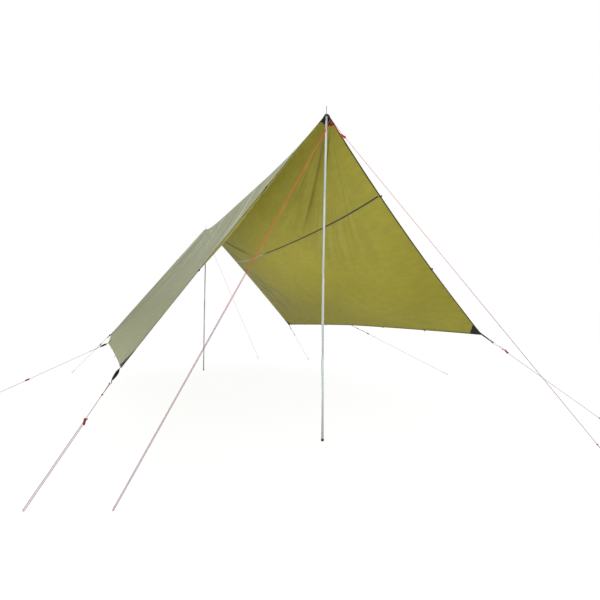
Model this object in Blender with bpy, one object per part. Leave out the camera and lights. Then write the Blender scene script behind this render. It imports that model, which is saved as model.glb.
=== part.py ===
# A camping tarp: a ridge of cloth held up by two poles and stretched out by ten guy lines.
# Metres, +Z up. The origin is on the ground midway between the poles, and the ridge runs along Y.
# The front is at -Y, the left at -X.
import math

import bmesh
import bpy
import numpy as np
from mathutils import Matrix, Vector

# Where the cloth is stretched to. Each side lists its front corner, its middle and its rear corner.
# Here and below, a place's Y counts from the front end, the middle or the rear end of the ridge.
PEAK_HEIGHT = 2.113
HALF_RIDGE = 2.0
SIDE_POINTS = {
    "left": [(-1.241, -0.002, 0.546), (-1.324, -0.013, 0.567), (-1.306, -0.023, 0.584)],
    "right": [(1.308, 0.013, 0.635), (1.323, 0.003, 0.675), (1.325, -0.006, 0.649)],
}

# How the cloth hangs between those points.
RIDGE_SAG = 0.062
RIDGE_STIFFNESS = {"front": 4.0, "rear": 5.6}
RIDGE_ROUNDING = {"front": 0.007, "mid": 0.026, "rear": 0.022}
PANEL_SAG = {"left": 0.11, "right": 0.172}
PANEL_SAG_SHAPE = 0.744
PANEL_SAG_FADE = 1.94
END_SCALLOP = 0.048
SIDE_SCALLOP = 0.006
# A panel sags square to its slope: this much sideways and this much down.
SAG_DIRECTION = (0.728, 0.686)
# Main folds: from and to in canopy coordinates (u, t), height and half width.
FOLDS = [
    ((0.03, -0.93), (0.34, -0.15), 0.010, 0.085),
    ((0.30, -0.99), (0.46, -0.45), -0.007, 0.090),
    ((0.10, 0.95), (0.42, 0.55), 0.008, 0.080),
    ((0.38, 0.96), (0.68, 0.60), 0.008, 0.090),
    ((0.66, 0.95), (0.86, 0.70), 0.006, 0.080),
    ((-0.30, -0.96), (-0.60, -0.50), -0.006, 0.090),
    ((-0.25, 0.95), (-0.60, 0.55), 0.007, 0.090),
]

# Cloth, hems, tapes and patches.
CLOTH_THICKNESS = 0.001
SEAM_DISTANCE = 0.434
TAPE_WIDTH = 0.012
TAPE_THICKNESS = 0.0008
HEM_WIDTH = 0.016
HEM_THICKNESS = 0.0012
PATCH_THICKNESS = 0.0008
CORNER_PATCH = (0.111, 0.120)
PEAK_PATCH = (0.055, 0.090)

# Loops on the hems.
LOOPS_PER_EDGE = 4
LOOP_WIDTH = 0.010
LOOP_BORE = 0.008
LOOP_WEBBING = 0.0008
LOOP_STANDOFF = 0.003
LOOP_ROOT = 0.008

# Eyelets and straps.
EYELET_INSET = 0.012
EYELET_BORE = 0.007
EYELET_WALL = 0.001
EYELET_FLANGE = 0.016
FLANGE_THICKNESS = 0.001
STRAP_WIDTH = 0.020
STRAP_EYE_WIDTH = 0.011
STRAP_THICKNESS = 0.0015
STRAP_LENGTH = 0.095
STRAP_ROOT = 0.038
STRAP_TAB = 0.010
STRAP_BEND = 0.004
EYE_BORE = 0.009
PEAK_EYE_BORE = 0.010
PEAK_EYE_REACH = 0.046
PEAK_EYE_DROP = 0.061

# Poles.
FOOT_PLACE = {"front": (-0.054, 0.040), "rear": (-0.050, 0.004)}
POLE_SECTIONS = 4
POLE_BOW = {"front": 0.0135, "rear": 0.004}
BOW_DIRECTION = (-0.916, -0.400, 0.0)
POLE_DIAMETER = 0.016
POLE_WALL = 0.001
SPIGOT_LENGTH = 0.050
SPIGOT_WALL = 0.001
NECK_LENGTH = 0.014
FOOT_DIAMETER = 0.0185
FOOT_FLOOR = 0.005
FOOT_HEIGHT = 0.016
FOOT_ROUNDING = 0.0035
SPIKE_DIAMETER = 0.005
SPIKE_LENGTH = 0.060
SHOULDER_DIAMETER = 0.009
SHOULDER_GAP = 0.0008
CONE_LENGTH = 0.006
COLLAR_LENGTH = 0.003
PLUG_LENGTH = 0.030
SHOCK_CORD_DIAMETER = 0.003

# Guy lines: where each ends on the ground, how far its tensioner sits from the cloth, and on
# which end its adjustable loop is.
CORD_DIAMETER = 0.0025
GUYS = {
    "front_peak_left": {"stake": (-1.280, -0.446), "tensioner": 0.123, "loop": "ground"},
    "front_peak_right": {"stake": (1.250, -0.893), "tensioner": 0.136, "loop": "cloth"},
    "front_left": {"stake": (-1.627, -0.287), "tensioner": 0.308, "loop": "ground"},
    "front_right": {"stake": (1.930, -0.505), "tensioner": 0.206, "loop": "cloth"},
    "mid_left": {"stake": (-2.540, 0.200), "tensioner": 0.739, "loop": "ground"},
    "mid_right": {"stake": (2.699, -0.094), "tensioner": 0.242, "loop": "cloth"},
    "rear_left": {"stake": (-1.843, 0.693), "tensioner": 0.281, "loop": "cloth"},
    "rear_right": {"stake": (1.891, 0.457), "tensioner": 0.254, "loop": "cloth"},
    "rear_peak_left": {"stake": (-1.200, 1.170), "tensioner": 0.130, "loop": "cloth"},
    "rear_peak_right": {"stake": (1.187, 1.169), "tensioner": 0.130, "loop": "cloth"},
}
CROSSING_CLEARANCE = 0.0007
BEND_PER_DIAMETER = 2.05
KNOT_DISTANCE = 0.065
PEAK_KNOT_DISTANCE = 0.090
PEG_CLEARANCE = 0.0008
STRAND_CLEARANCE = 0.0006
STRAND_TAIL = 0.005
TENSIONER_END = 0.0091
TENSIONER_WIDTH = 0.014
TENSIONER_THICKNESS = 0.003
# The angle between a tensioner and its strands.
TENSIONER_TILT = math.radians(30.0)

# What follows from the cord: its bends, and the room between its two strands.
CORD_BEND = BEND_PER_DIAMETER * CORD_DIAMETER
STRAND_SPACING = 2 * CORD_BEND + STRAND_CLEARANCE

# Clearances: between touching pieces, and under a cord that lies on the ground.
GAP = 0.0003
GROUND_GAP = 0.0002

# How finely the shapes are cut up.
ROW_DISTANCES = [0.040, 0.065, 0.100, 0.170, 0.290, 0.480, 0.740, 1.060, 1.480]
CENTRE_DISTANCES = [0.021, 0.037, 0.065, 0.115, 0.195, 0.305]
SIDE_SHARES = [0.44, 0.55, 0.67, 0.79, 0.90]
TUBE_SIDES = 14
EYELET_SIDES = 16
EYE_SIDES = 10
LOOP_EYE_SIDES = 8
BORE_SIDES = 12
CORNER_PATCH_STEPS = 6
PEAK_PATCH_STEPS = 14
TENSIONER_STEPS = 5
FOOT_STEPS = 3
BEND_STEP = math.radians(32)
SMOOTH_ANGLE = 35
# A patch's sheet is this many times the patch's own size before it is trimmed.
PATCH_SHEET = 1.6
# A corner patch ends just short of a point.
PATCH_END = 0.96
# Small chamfers on the feet, spikes and spigots.
CHAMFER = 0.002
FOOT_LIP = 0.0008
SPIKE_TIP = [(0.4, 0.0), (0.9, 0.0015), (1.0, 0.004)]
# Where an adjustable loop's strands come straight, as shares of the way to the tensioner.
STRAIGHT_SHARES = (0.4, 0.7)

COLOURS = {
    "canopy_cloth": ((143, 137, 66), 0.75, 0.0),
    "black_webbing": ((38, 38, 43), 0.85, 0.0),
    "seam_tape": ((84, 80, 66), 0.6, 0.0),
    "eyelet_metal": ((150, 150, 150), 0.3, 1.0),
    "pole_tube": ((186, 192, 190), 0.35, 0.9),
    "pole_spike": ((120, 122, 125), 0.35, 1.0),
    "foot_rubber": ((30, 30, 32), 0.8, 0.0),
    "shock_cord": ((45, 45, 50), 0.8, 0.0),
    "guy_cord": ((168, 42, 42), 0.7, 0.0),
    "tensioner_red": ((196, 40, 48), 0.35, 0.3),
}


def clear_scene():
    for item in list(bpy.data.objects):
        bpy.data.objects.remove(item)


def linear(channel):
    value = channel / 255.0
    if value <= 0.04045:
        return value / 12.92
    return ((value + 0.055) / 1.055) ** 2.4


def material(name):
    existing = bpy.data.materials.get(name)
    if existing:
        return existing
    colour, roughness, metallic = COLOURS[name]
    made = bpy.data.materials.new(name)
    made.use_nodes = True
    shader = made.node_tree.nodes["Principled BSDF"]
    shader.inputs["Base Color"].default_value = [linear(c) for c in colour] + [1.0]
    shader.inputs["Roughness"].default_value = roughness
    shader.inputs["Metallic"].default_value = metallic
    return made


def add_object(name, vertices, faces, material_name, frame=None, smooth_angle=None):
    mesh = bpy.data.meshes.new(name)
    mesh.from_pydata([tuple(v) for v in vertices], [], faces)
    work = bmesh.new()
    work.from_mesh(mesh)
    bmesh.ops.recalc_face_normals(work, faces=work.faces)
    work.to_mesh(mesh)
    work.free()
    if smooth_angle:
        mesh.shade_smooth()
        mesh.set_sharp_from_angle(angle=math.radians(smooth_angle))
    made = bpy.data.objects.new(name, mesh)
    bpy.context.collection.objects.link(made)
    made.data.materials.append(material(material_name))
    if frame is not None:
        made.matrix_world = frame
    return made


def apply_boolean(target, tool, operation):
    cut = target.modifiers.new(operation.lower(), "BOOLEAN")
    cut.operation = operation
    cut.object = tool
    bpy.context.view_layer.update()
    depsgraph = bpy.context.evaluated_depsgraph_get()
    shaped = bpy.data.meshes.new_from_object(target.evaluated_get(depsgraph))
    target.modifiers.clear()
    target.data = shaped
    bpy.data.objects.remove(tool)


def unit(vector):
    return np.asarray(vector, float) / np.linalg.norm(vector)


def frame_matrix(origin, x_axis, y_axis, z_axis):
    columns = np.eye(4)
    columns[:3, 0] = x_axis
    columns[:3, 1] = y_axis
    columns[:3, 2] = z_axis
    columns[:3, 3] = origin
    return Matrix(columns.tolist())


# The canopy surface. A point on it is named by u, -1 at the left edge, 0 on the ridge and 1 at
# the right edge, and by t, -1 at the front edge and 1 at the rear edge.

def ridge_end(place):
    return {"front": -HALF_RIDGE, "mid": 0.0, "rear": HALF_RIDGE}[place]


def edge_point(side, t):
    places = zip(SIDE_POINTS[side], ("front", "mid", "rear"))
    front, middle, rear = [np.array([x, y + ridge_end(place), z]) for (x, y, z), place in places]
    end = np.where(t[..., None] < 0, front, rear)
    return middle + (end - middle) * np.abs(t)[..., None]


def ridge_height(t):
    power = np.where(t < 0, RIDGE_STIFFNESS["front"], RIDGE_STIFFNESS["rear"])
    return PEAK_HEIGHT - RIDGE_SAG * (1 - np.abs(t) ** power)


def eased(a, rounding, power):
    # Goes from 0 to 1 with a, like a to the power, but starts level.
    lift = (a * a + rounding * rounding) ** (power / 2) - rounding ** power
    return lift / ((1 + rounding * rounding) ** (power / 2) - rounding ** power)


def fold_height(u, t):
    # Each fold is a bump across the line from its start to its end, highest half way along.
    height = np.zeros_like(u)
    for start, end, rise, half_width in FOLDS:
        run = np.array([(end[0] - start[0]) * EDGE_RUN, (end[1] - start[1]) * HALF_RIDGE])
        length = np.linalg.norm(run)
        run = run / length
        along = (u - start[0]) * EDGE_RUN * run[0] + (t - start[1]) * HALF_RIDGE * run[1]
        off = (u - start[0]) * EDGE_RUN * run[1] - (t - start[1]) * HALF_RIDGE * run[0]
        share = np.clip(along / length, 0, 1)
        height += rise * np.sin(math.pi * share) * np.exp(-(off / half_width) ** 2)
    return height


def ridge_rounding(t):
    # The ridge is sharpest at its ends, where the cloth is pulled over the poles.
    end = np.where(t < 0, RIDGE_ROUNDING["front"], RIDGE_ROUNDING["rear"])
    return RIDGE_ROUNDING["mid"] + (end - RIDGE_ROUNDING["mid"]) * np.abs(t)


def half_canopy(side, a, t):
    sign = 1.0 if side == "right" else -1.0
    ridge = np.stack([np.zeros_like(t), HALF_RIDGE * t, ridge_height(t)], -1)
    edge = edge_point(side, t)
    run = ridge - edge
    inward = run / np.linalg.norm(run, axis=-1, keepdims=True)
    edge = edge + inward * (SIDE_SCALLOP * 4 * np.abs(t) * (1 - np.abs(t)))[..., None]
    point = ridge + (edge - ridge) * a[..., None]
    rounding = ridge_rounding(t)
    drop = eased(a, rounding, 1.0)
    point[..., 2] = ridge[..., 2] + (edge[..., 2] - ridge[..., 2]) * drop
    point[..., 1] *= 1 - END_SCALLOP * 2 * a * (1 - a)
    sag = PANEL_SAG[side] * np.sin(math.pi * eased(a, rounding, PANEL_SAG_SHAPE))
    sag = sag * (1 - np.abs(t) ** PANEL_SAG_FADE)
    point[..., 0] -= sign * SAG_DIRECTION[0] * sag
    point[..., 2] -= SAG_DIRECTION[1] * sag
    return point


def level_eyelets(point):
    # The cloth is pressed level in a square round each eyelet and from there to its edge, and
    # eases back to its slope past that.
    for sign in (-1, 1):
        behind = np.maximum(EYELET_Y - sign * point[..., 1], 0)
        away = np.maximum(np.abs(point[..., 0]), behind)
        share = np.clip((away - LEVEL_RADIUS) / LEVEL_RADIUS, 0, 1)
        pull = 1 - share * share * (3 - 2 * share)
        point[..., 2] += (PEAK_HEIGHT - point[..., 2]) * pull
    return point


def canopy_base(u, t):
    u, t = np.broadcast_arrays(np.asarray(u, float), np.asarray(t, float))
    right = half_canopy("right", np.abs(u), t)
    left = half_canopy("left", np.abs(u), t)
    return level_eyelets(np.where((u < 0)[..., None], left, right))


def canopy_normal(u, t):
    step = 0.002
    u, t = np.broadcast_arrays(np.asarray(u, float), np.asarray(t, float))
    across = canopy_base(np.minimum(u + step, 1), t) - canopy_base(np.maximum(u - step, -1), t)
    along = canopy_base(u, np.minimum(t + step, 1)) - canopy_base(u, np.maximum(t - step, -1))
    normal = np.cross(across, along)
    return normal / np.linalg.norm(normal, axis=-1, keepdims=True)


def canopy(u, t, offset=0.0):
    u, t = np.broadcast_arrays(np.asarray(u, float), np.asarray(t, float))
    lift = fold_height(u, t) + offset
    return canopy_base(u, t) + canopy_normal(u, t) * lift[..., None]


EYELET_Y = HALF_RIDGE - EYELET_INSET
LEVEL_RADIUS = EYELET_FLANGE / 2 + 5 * GAP
HALF_SPAN = abs(SIDE_POINTS["right"][1][0])
EDGE_RUN = math.hypot(HALF_SPAN, PEAK_HEIGHT - SIDE_POINTS["right"][1][2])
SEAM_U = SEAM_DISTANCE / HALF_SPAN
HEM_U = HEM_WIDTH / EDGE_RUN
TAPE_U = TAPE_WIDTH / 2 / EDGE_RUN
GAP_U = GAP / 2 / EDGE_RUN

# Heights of the layers under the cloth, measured from its middle.
CLOTH_FACE = CLOTH_THICKNESS / 2
HEM_TOP = -CLOTH_FACE - GAP
HEM_BOTTOM = HEM_TOP - HEM_THICKNESS
PATCH_TOP = HEM_BOTTOM - GAP
PATCH_BOTTOM = PATCH_TOP - PATCH_THICKNESS
STRAP_MIDDLE = CLOTH_FACE + GAP + STRAP_THICKNESS / 2
FLANGE_TOP = STRAP_MIDDLE + STRAP_THICKNESS / 2 + GAP + FLANGE_THICKNESS
FLANGE_BOTTOM = PATCH_BOTTOM - GAP - FLANGE_THICKNESS
HOLE_RADIUS = EYELET_BORE / 2 + EYELET_WALL + GAP


def canopy_rows():
    # Rows crowd towards the front and rear edges, where the hem, the eyelet and the patch are.
    ends = sorted([0.0, HEM_WIDTH, EYELET_INSET, EYELET_INSET + LEVEL_RADIUS])
    ends += ROW_DISTANCES
    front = [distance / HALF_RIDGE - 1 for distance in ends]
    return front + [0.0] + [-t for t in reversed(front)]


def rows_between_hems():
    last = 1 - (HEM_WIDTH + GAP) / HALF_RIDGE
    return [-last] + [t for t in canopy_rows() if abs(t) < last] + [last]


def centre_columns():
    # Columns crowd towards the ridge, which bends sharply.
    half = [LEVEL_RADIUS] + CENTRE_DISTANCES
    half = [x / HALF_SPAN for x in half] + [SEAM_U - TAPE_U, SEAM_U - GAP_U]
    return [-u for u in reversed(half)] + [0.0] + half


def side_columns():
    return [SEAM_U + GAP_U, SEAM_U + TAPE_U] + SIDE_SHARES + [1 - HEM_U, 1.0]


def layer(name, columns, rows, top, bottom, material_name):
    # A closed sheet over a grid of canopy coordinates, between two heights.
    u = np.array(columns)[:, None]
    t = np.array(rows)[None, :]
    wide = len(columns)
    long = len(rows)
    upper = canopy(u, t, top).reshape(-1, 3)
    lower = canopy(u, t, bottom).reshape(-1, 3)
    below = wide * long
    faces = []
    for i in range(wide - 1):
        for j in range(long - 1):
            a = i * long + j
            b = a + long
            for shift in (0, below):
                faces.append((a + shift, b + shift, b + 1 + shift))
                faces.append((a + shift, b + 1 + shift, a + 1 + shift))
    rim = [i * long for i in range(wide)]
    rim += [(wide - 1) * long + j for j in range(1, long)]
    rim += [i * long + long - 1 for i in range(wide - 2, -1, -1)]
    rim += [j for j in range(long - 2, 0, -1)]
    for a, b in zip(rim, rim[1:] + rim[:1]):
        faces.append((a, b, b + below, a + below))
    return add_object(name, np.vstack([upper, lower]), faces, material_name)


def cylinder(radius, centre, low, high, sides):
    turns = [2 * math.pi * k / sides for k in range(sides)]
    circle = [(centre[0] + radius * math.cos(a), centre[1] + radius * math.sin(a)) for a in turns]
    return prism(circle, low, high)


def prism(outline, low, high):
    count = len(outline)
    vertices = [(x, y, low) for x, y in outline] + [(x, y, high) for x, y in outline]
    faces = [tuple(range(count)), tuple(range(count, 2 * count))]
    for k in range(count):
        following = (k + 1) % count
        faces.append((k, following, count + following, count + k))
    return add_object("cutter", vertices, faces, "black_webbing")


def drill_eyelet_hole(target, sign):
    low = PEAK_HEIGHT - EYELET_FLANGE
    high = PEAK_HEIGHT + EYELET_FLANGE
    hole = cylinder(HOLE_RADIUS, (0.0, sign * EYELET_Y), low, high, EYELET_SIDES)
    apply_boolean(target, hole, "DIFFERENCE")


def make_panels():
    rows = canopy_rows()
    centre = layer("canopy_centre_panel", centre_columns(), rows, CLOTH_FACE, -CLOTH_FACE, "canopy_cloth")
    for sign in (-1, 1):
        drill_eyelet_hole(centre, sign)
    right = side_columns()
    left = [-u for u in reversed(right)]
    layer("canopy_right_panel", right, rows, CLOTH_FACE, -CLOTH_FACE, "canopy_cloth")
    layer("canopy_left_panel", left, rows, CLOTH_FACE, -CLOTH_FACE, "canopy_cloth")


def make_seam_tapes():
    rows = rows_between_hems()
    for side, sign in (("left", -1), ("right", 1)):
        columns = sorted(sign * u for u in (SEAM_U - TAPE_U, SEAM_U, SEAM_U + TAPE_U))
        layer("seam_tape_" + side, columns, rows, HEM_TOP, HEM_TOP - TAPE_THICKNESS, "seam_tape")


# Webbing seen from its edge: a strip that ends in an eye. Cells are four-sided, in a flat plane,
# and the whole is then given its width.

def webbing_cells(path, thickness, bore, wall, eye_sides, widths):
    points = []
    halves = []
    cells = []
    path = [np.array(p, float) for p in path]
    centre = path[-1]
    heading = unit(centre - path[-2])
    for k in range(len(path) - 1):
        before = unit(path[k] - path[k - 1]) if k else unit(path[1] - path[0])
        after = unit(path[k + 1] - path[k])
        middle = unit(before + after)
        half = thickness / 2 / max(0.3, float(np.dot(middle, after)))
        normal = np.array([-middle[1], middle[0]])
        points += [path[k] + normal * half, path[k] - normal * half]
        halves += [widths[0] / 2] * 2
        if k:
            cells.append((2 * k - 2, 2 * k, 2 * k + 1, 2 * k - 1))
    start = len(points)
    inner_radius = bore / 2 / math.cos(math.pi / eye_sides)
    outer_radius = inner_radius + wall
    back = math.atan2(-heading[1], -heading[0])
    for k in range(eye_sides):
        angle = back - (k + 0.5) * 2 * math.pi / eye_sides
        ray = np.array([math.cos(angle), math.sin(angle)])
        points += [centre + ray * outer_radius, centre + ray * inner_radius]
        halves += [widths[1] / 2] * 2
    for k in range(eye_sides):
        this = start + 2 * k
        following = start + 2 * ((k + 1) % eye_sides)
        cells.append((this, following, following + 1, this + 1))
    cells.append((start - 2, start, start + 2 * (eye_sides - 1), start - 1))
    return points, cells, halves


def webbing_mesh(name, path, thickness, bore, wall, eye_sides, widths, frame):
    points, cells, halves = webbing_cells(path, thickness, bore, wall, eye_sides, widths)
    count = len(points)
    vertices = [(p[0], p[1], h) for p, h in zip(points, halves)]
    vertices += [(p[0], p[1], -h) for p, h in zip(points, halves)]
    faces = []
    uses = {}
    for cell in cells:
        faces.append(tuple(cell))
        faces.append(tuple(k + count for k in cell))
        for a, b in zip(cell, cell[1:] + cell[:1]):
            uses.setdefault(frozenset((a, b)), []).append((a, b))
    for pairs in uses.values():
        if len(pairs) == 1:
            a, b = pairs[0]
            faces.append((a, b, b + count, a + count))
    return add_object(name, vertices, faces, "black_webbing", frame)


def edge_frame(u, t, outward):
    # At an edge point: away from the cloth in its plane, up from it, and along the edge.
    normal = canopy_normal(u, t)
    away = unit(outward - normal * np.dot(outward, normal))
    return frame_matrix(canopy(u, t), away, normal, np.cross(away, normal))


def hem_loop(u, t, outward):
    middle = (HEM_TOP + HEM_BOTTOM) / 2
    reach = LOOP_STANDOFF + LOOP_BORE / 2
    path = [(-LOOP_ROOT, middle), (LOOP_STANDOFF / 4, middle), (reach, middle)]
    widths = (LOOP_WIDTH, LOOP_WIDTH)
    frame = edge_frame(u, t, outward)
    return webbing_mesh("loop", path, LOOP_WEBBING, LOOP_BORE, LOOP_WEBBING, LOOP_EYE_SIDES, widths, frame)


def add_hem_loops(hem, places):
    for u, t, outward in places:
        apply_boolean(hem, hem_loop(u, t, outward), "UNION")


def loop_shares():
    # Loops stand at even steps of the edge, with none at its middle.
    steps = LOOPS_PER_EDGE + 2
    return [2 * k / steps - 1 for k in range(1, steps) if 2 * k != steps]


def make_hems():
    right = side_columns()
    across = [-u for u in reversed(right)] + centre_columns() + right
    for end, sign in (("front", -1), ("rear", 1)):
        rows = [t for t in canopy_rows() if 1 - sign * t < (HEM_WIDTH + GAP) / HALF_RIDGE]
        columns = [u for u in across if abs(abs(u) - SEAM_U) > 2 * GAP_U]
        hem = layer("hem_" + end, columns, rows, HEM_TOP, HEM_BOTTOM, "canopy_cloth")
        drill_eyelet_hole(hem, sign)
        outward = np.array([0.0, float(sign), 0.0])
        add_hem_loops(hem, [(share, sign, outward) for share in loop_shares()])
    rows = rows_between_hems()
    for side, sign in (("left", -1), ("right", 1)):
        columns = sorted((sign * (1 - HEM_U), sign * 1.0))
        hem = layer("hem_" + side, columns, rows, HEM_TOP, HEM_BOTTOM, "canopy_cloth")
        outward = np.array([float(sign), 0.0, -1.0])
        add_hem_loops(hem, [(sign, share, outward) for share in loop_shares()])


def corner_patch(name, u_sign, t_sign):
    # A triangle under the corner with a straight inner edge, made as rows that get narrower.
    steps = CORNER_PATCH_STEPS
    wide = CORNER_PATCH[0] / EDGE_RUN
    long = CORNER_PATCH[1] / HALF_RIDGE
    upper = []
    lower = []
    for row in range(steps + 1):
        share = row / steps * PATCH_END
        reach = 1 - share
        for column in range(steps - 1):
            u = u_sign * (1 - wide * reach * column / (steps - 2))
            t = t_sign * (1 - long * share)
            upper.append(canopy(u, t, PATCH_TOP))
            lower.append(canopy(u, t, PATCH_BOTTOM))
    across = steps - 1
    below = len(upper)
    faces = []
    for row in range(steps):
        for column in range(across - 1):
            a = row * across + column
            cell = (a, a + 1, a + across + 1, a + across)
            faces.append(cell)
            faces.append(tuple(k + below for k in cell))
    rim = list(range(across)) + [row * across + across - 1 for row in range(1, steps + 1)]
    rim += [steps * across + column for column in range(across - 2, -1, -1)]
    rim += [row * across for row in range(steps - 1, 0, -1)]
    for a, b in zip(rim, rim[1:] + rim[:1]):
        faces.append((a, b, b + below, a + below))
    add_object(name, upper + lower, faces, "black_webbing")


def peak_patch(name, sign):
    # A sheet under the peak, trimmed to half an ellipse and drilled for the eyelet.
    columns = [u for u in centre_columns() if abs(u) * HALF_SPAN < PEAK_PATCH[0] * PATCH_SHEET]
    rows = [t for t in canopy_rows() if 0 <= 1 - sign * t < PEAK_PATCH[1] * PATCH_SHEET / HALF_RIDGE]
    patch = layer(name, columns, rows, PATCH_TOP, PATCH_BOTTOM, "black_webbing")
    steps = PEAK_PATCH_STEPS
    outline = []
    for k in range(steps + 1):
        angle = math.pi * k / steps
        x = PEAK_PATCH[0] * math.cos(angle)
        outline.append((x, sign * (HALF_RIDGE - PEAK_PATCH[1] * math.sin(angle))))
    past = sign * (HALF_RIDGE + HEM_WIDTH)
    outline += [(-PEAK_PATCH[0], past), (PEAK_PATCH[0], past)]
    reach = PATCH_SHEET * PEAK_PATCH[1]
    apply_boolean(patch, prism(outline, PEAK_HEIGHT - reach, PEAK_HEIGHT + reach), "INTERSECT")
    drill_eyelet_hole(patch, sign)


def make_patches():
    for side, u_sign in (("left", -1), ("right", 1)):
        for end, t_sign in (("front", -1), ("rear", 1)):
            corner_patch("corner_patch_" + end + "_" + side, u_sign, t_sign)
    for end, sign in (("front", -1), ("rear", 1)):
        peak_patch("peak_patch_" + end, sign)


# Turned pieces: rings of points carried along an axis that may bend.

def turned(name, rings, sides, hollow, material_name, frame=None):
    vertices = []
    faces = []
    for centre, axis, radius in rings:
        axis = unit(axis)
        first = unit(np.cross((0.0, 1.0, 0.0), axis))
        second = np.cross(axis, first)
        for k in range(sides):
            angle = 2 * math.pi * (k + 0.5) / sides
            spoke = first * math.cos(angle) + second * math.sin(angle)
            vertices.append(np.asarray(centre, float) + spoke * radius)
    count = len(rings)
    for ring in range(count if hollow else count - 1):
        following = (ring + 1) % count
        for k in range(sides):
            a = ring * sides + k
            b = ring * sides + (k + 1) % sides
            c = following * sides + (k + 1) % sides
            faces.append((a, b, c, following * sides + k))
    if not hollow:
        faces.append(tuple(range(sides)))
        faces.append(tuple(range((count - 1) * sides, count * sides)))
    return add_object(name, vertices, faces, material_name, frame, SMOOTH_ANGLE)


def make_eyelets():
    low = FLANGE_BOTTOM
    high = FLANGE_TOP
    bore = EYELET_BORE / 2
    barrel = bore + EYELET_WALL
    rim = EYELET_FLANGE / 2
    profile = [(bore, low), (rim, low), (rim, low + FLANGE_THICKNESS), (barrel, low + FLANGE_THICKNESS)]
    profile += [(barrel, high - FLANGE_THICKNESS), (rim, high - FLANGE_THICKNESS), (rim, high), (bore, high)]
    for end, sign in (("front", -1), ("rear", 1)):
        rings = [((0.0, 0.0, z), (0.0, 0.0, 1.0), radius) for radius, z in profile]
        place = Matrix.Translation(eyelet_centre(sign))
        turned("eyelet_" + end, rings, EYELET_SIDES, True, "eyelet_metal", place)


def eyelet_centre(sign):
    return Vector((0.0, sign * EYELET_Y, PEAK_HEIGHT))


# Straps. Each anchor is the eye of a strap: its middle, the way the cord runs through it, the way
# the strap pulls, and its bore.

def guy_stake(name):
    x, y = GUYS[name]["stake"]
    end = ridge_end(name.split("_")[0])
    return np.array([x, y + end, CORD_DIAMETER / 2 + GROUND_GAP])


def side_strap(name, u, t):
    corner = canopy(u, t)
    normal = canopy_normal(u, t)
    pull = unit(guy_stake(name) - corner)
    away = unit(pull - normal * np.dot(pull, normal))
    across = np.cross(away, normal)
    eye = (STRAP_LENGTH * np.dot(pull, away), STRAP_LENGTH * np.dot(pull, normal))
    path = [(-STRAP_ROOT, STRAP_MIDDLE), (STRAP_BEND, STRAP_MIDDLE), eye]
    frame = frame_matrix(corner, away, normal, across)
    widths = (STRAP_WIDTH, STRAP_EYE_WIDTH)
    webbing_mesh(
        "strap_" + name, path, STRAP_THICKNESS, EYE_BORE, STRAP_THICKNESS, EYE_SIDES, widths, frame)
    return {"eye": corner + pull * STRAP_LENGTH, "across": across, "pull": pull, "bore": EYE_BORE}


def peak_strap(name, sign):
    centre = np.array(eyelet_centre(sign))
    away = np.array([0.0, float(sign), 0.0])
    across = np.cross(away, (0.0, 0.0, 1.0))
    frame = frame_matrix(centre, away, (0.0, 0.0, 1.0), across)
    eye = (EYELET_INSET + PEAK_EYE_REACH, -PEAK_EYE_DROP)
    bend = EYELET_INSET + STRAP_BEND
    path = [(-STRAP_TAB, STRAP_MIDDLE), (bend, STRAP_MIDDLE), eye]
    widths = (STRAP_WIDTH, STRAP_EYE_WIDTH)
    strap = webbing_mesh(
        "strap_" + name, path, STRAP_THICKNESS, PEAK_EYE_BORE, STRAP_THICKNESS, EYE_SIDES, widths, frame)
    bpy.context.view_layer.update()
    shape = strap.data
    shape.transform(strap.matrix_world)
    strap.matrix_world = Matrix.Identity(4)
    drill_eyelet_hole(strap, sign)
    pull = unit((0.0, sign * (eye[0] - bend), eye[1] - STRAP_MIDDLE))
    middle = centre + away * eye[0] + np.array([0.0, 0.0, eye[1]])
    return {"eye": middle, "across": across, "pull": pull, "bore": PEAK_EYE_BORE}


def make_straps():
    anchors = {}
    for side, u in (("left", -1.0), ("right", 1.0)):
        for end, t in (("front", -1.0), ("mid", 0.0), ("rear", 1.0)):
            name = end + "_" + side
            anchors[name] = side_strap(name, u, t)
    for end, sign in (("front", -1), ("rear", 1)):
        anchor = peak_strap(end + "_peak", sign)
        for side in ("left", "right"):
            anchors[end + "_peak_" + side] = anchor
    return anchors


# Guy lines. A taut line is straight between its turns, so a route is its corners, each rounded.

def rounded_route(corners):
    route = [corners[0][0]]
    for (before, _), (corner, radius), (after, _) in zip(corners, corners[1:], corners[2:]):
        if radius == 0:
            route.append(corner)
            continue
        arrive = unit(corner - before)
        leave = unit(after - corner)
        turn = math.acos(max(-1.0, min(1.0, float(np.dot(arrive, leave)))))
        reach = radius * math.tan(turn / 2)
        inward = unit(leave - arrive)
        centre = corner + inward * radius / math.cos(turn / 2)
        steps = max(1, round(turn / BEND_STEP))
        for k in range(steps + 1):
            swing = turn * k / steps
            tangent = -unit(inward - arrive * np.dot(inward, arrive))
            route.append(centre + radius * (tangent * math.cos(swing) + arrive * math.sin(swing)))
    route.append(corners[-1][0])
    return route


def cord(name, route, diameter, material_name):
    curve = bpy.data.curves.new(name, "CURVE")
    curve.dimensions = "3D"
    curve.bevel_depth = diameter / 2
    curve.bevel_resolution = 2
    curve.use_fill_caps = True
    line = curve.splines.new("POLY")
    line.points.add(len(route) - 1)
    for point, place in zip(line.points, route):
        point.co = (place[0], place[1], place[2], 1.0)
    curve.materials.append(material(material_name))
    made = bpy.data.objects.new(name, curve)
    bpy.context.collection.objects.link(made)
    return made


def eye_corner(eye, across, heading):
    # The turn starts where the cord leaves the eye, so its corner lies a tangent's length out.
    turn = math.acos(max(-1.0, min(1.0, float(np.dot(across, heading)))))
    reach = STRAP_EYE_WIDTH / 2 + GAP + CORD_BEND * math.tan(turn / 2)
    return eye + across * reach


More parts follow.
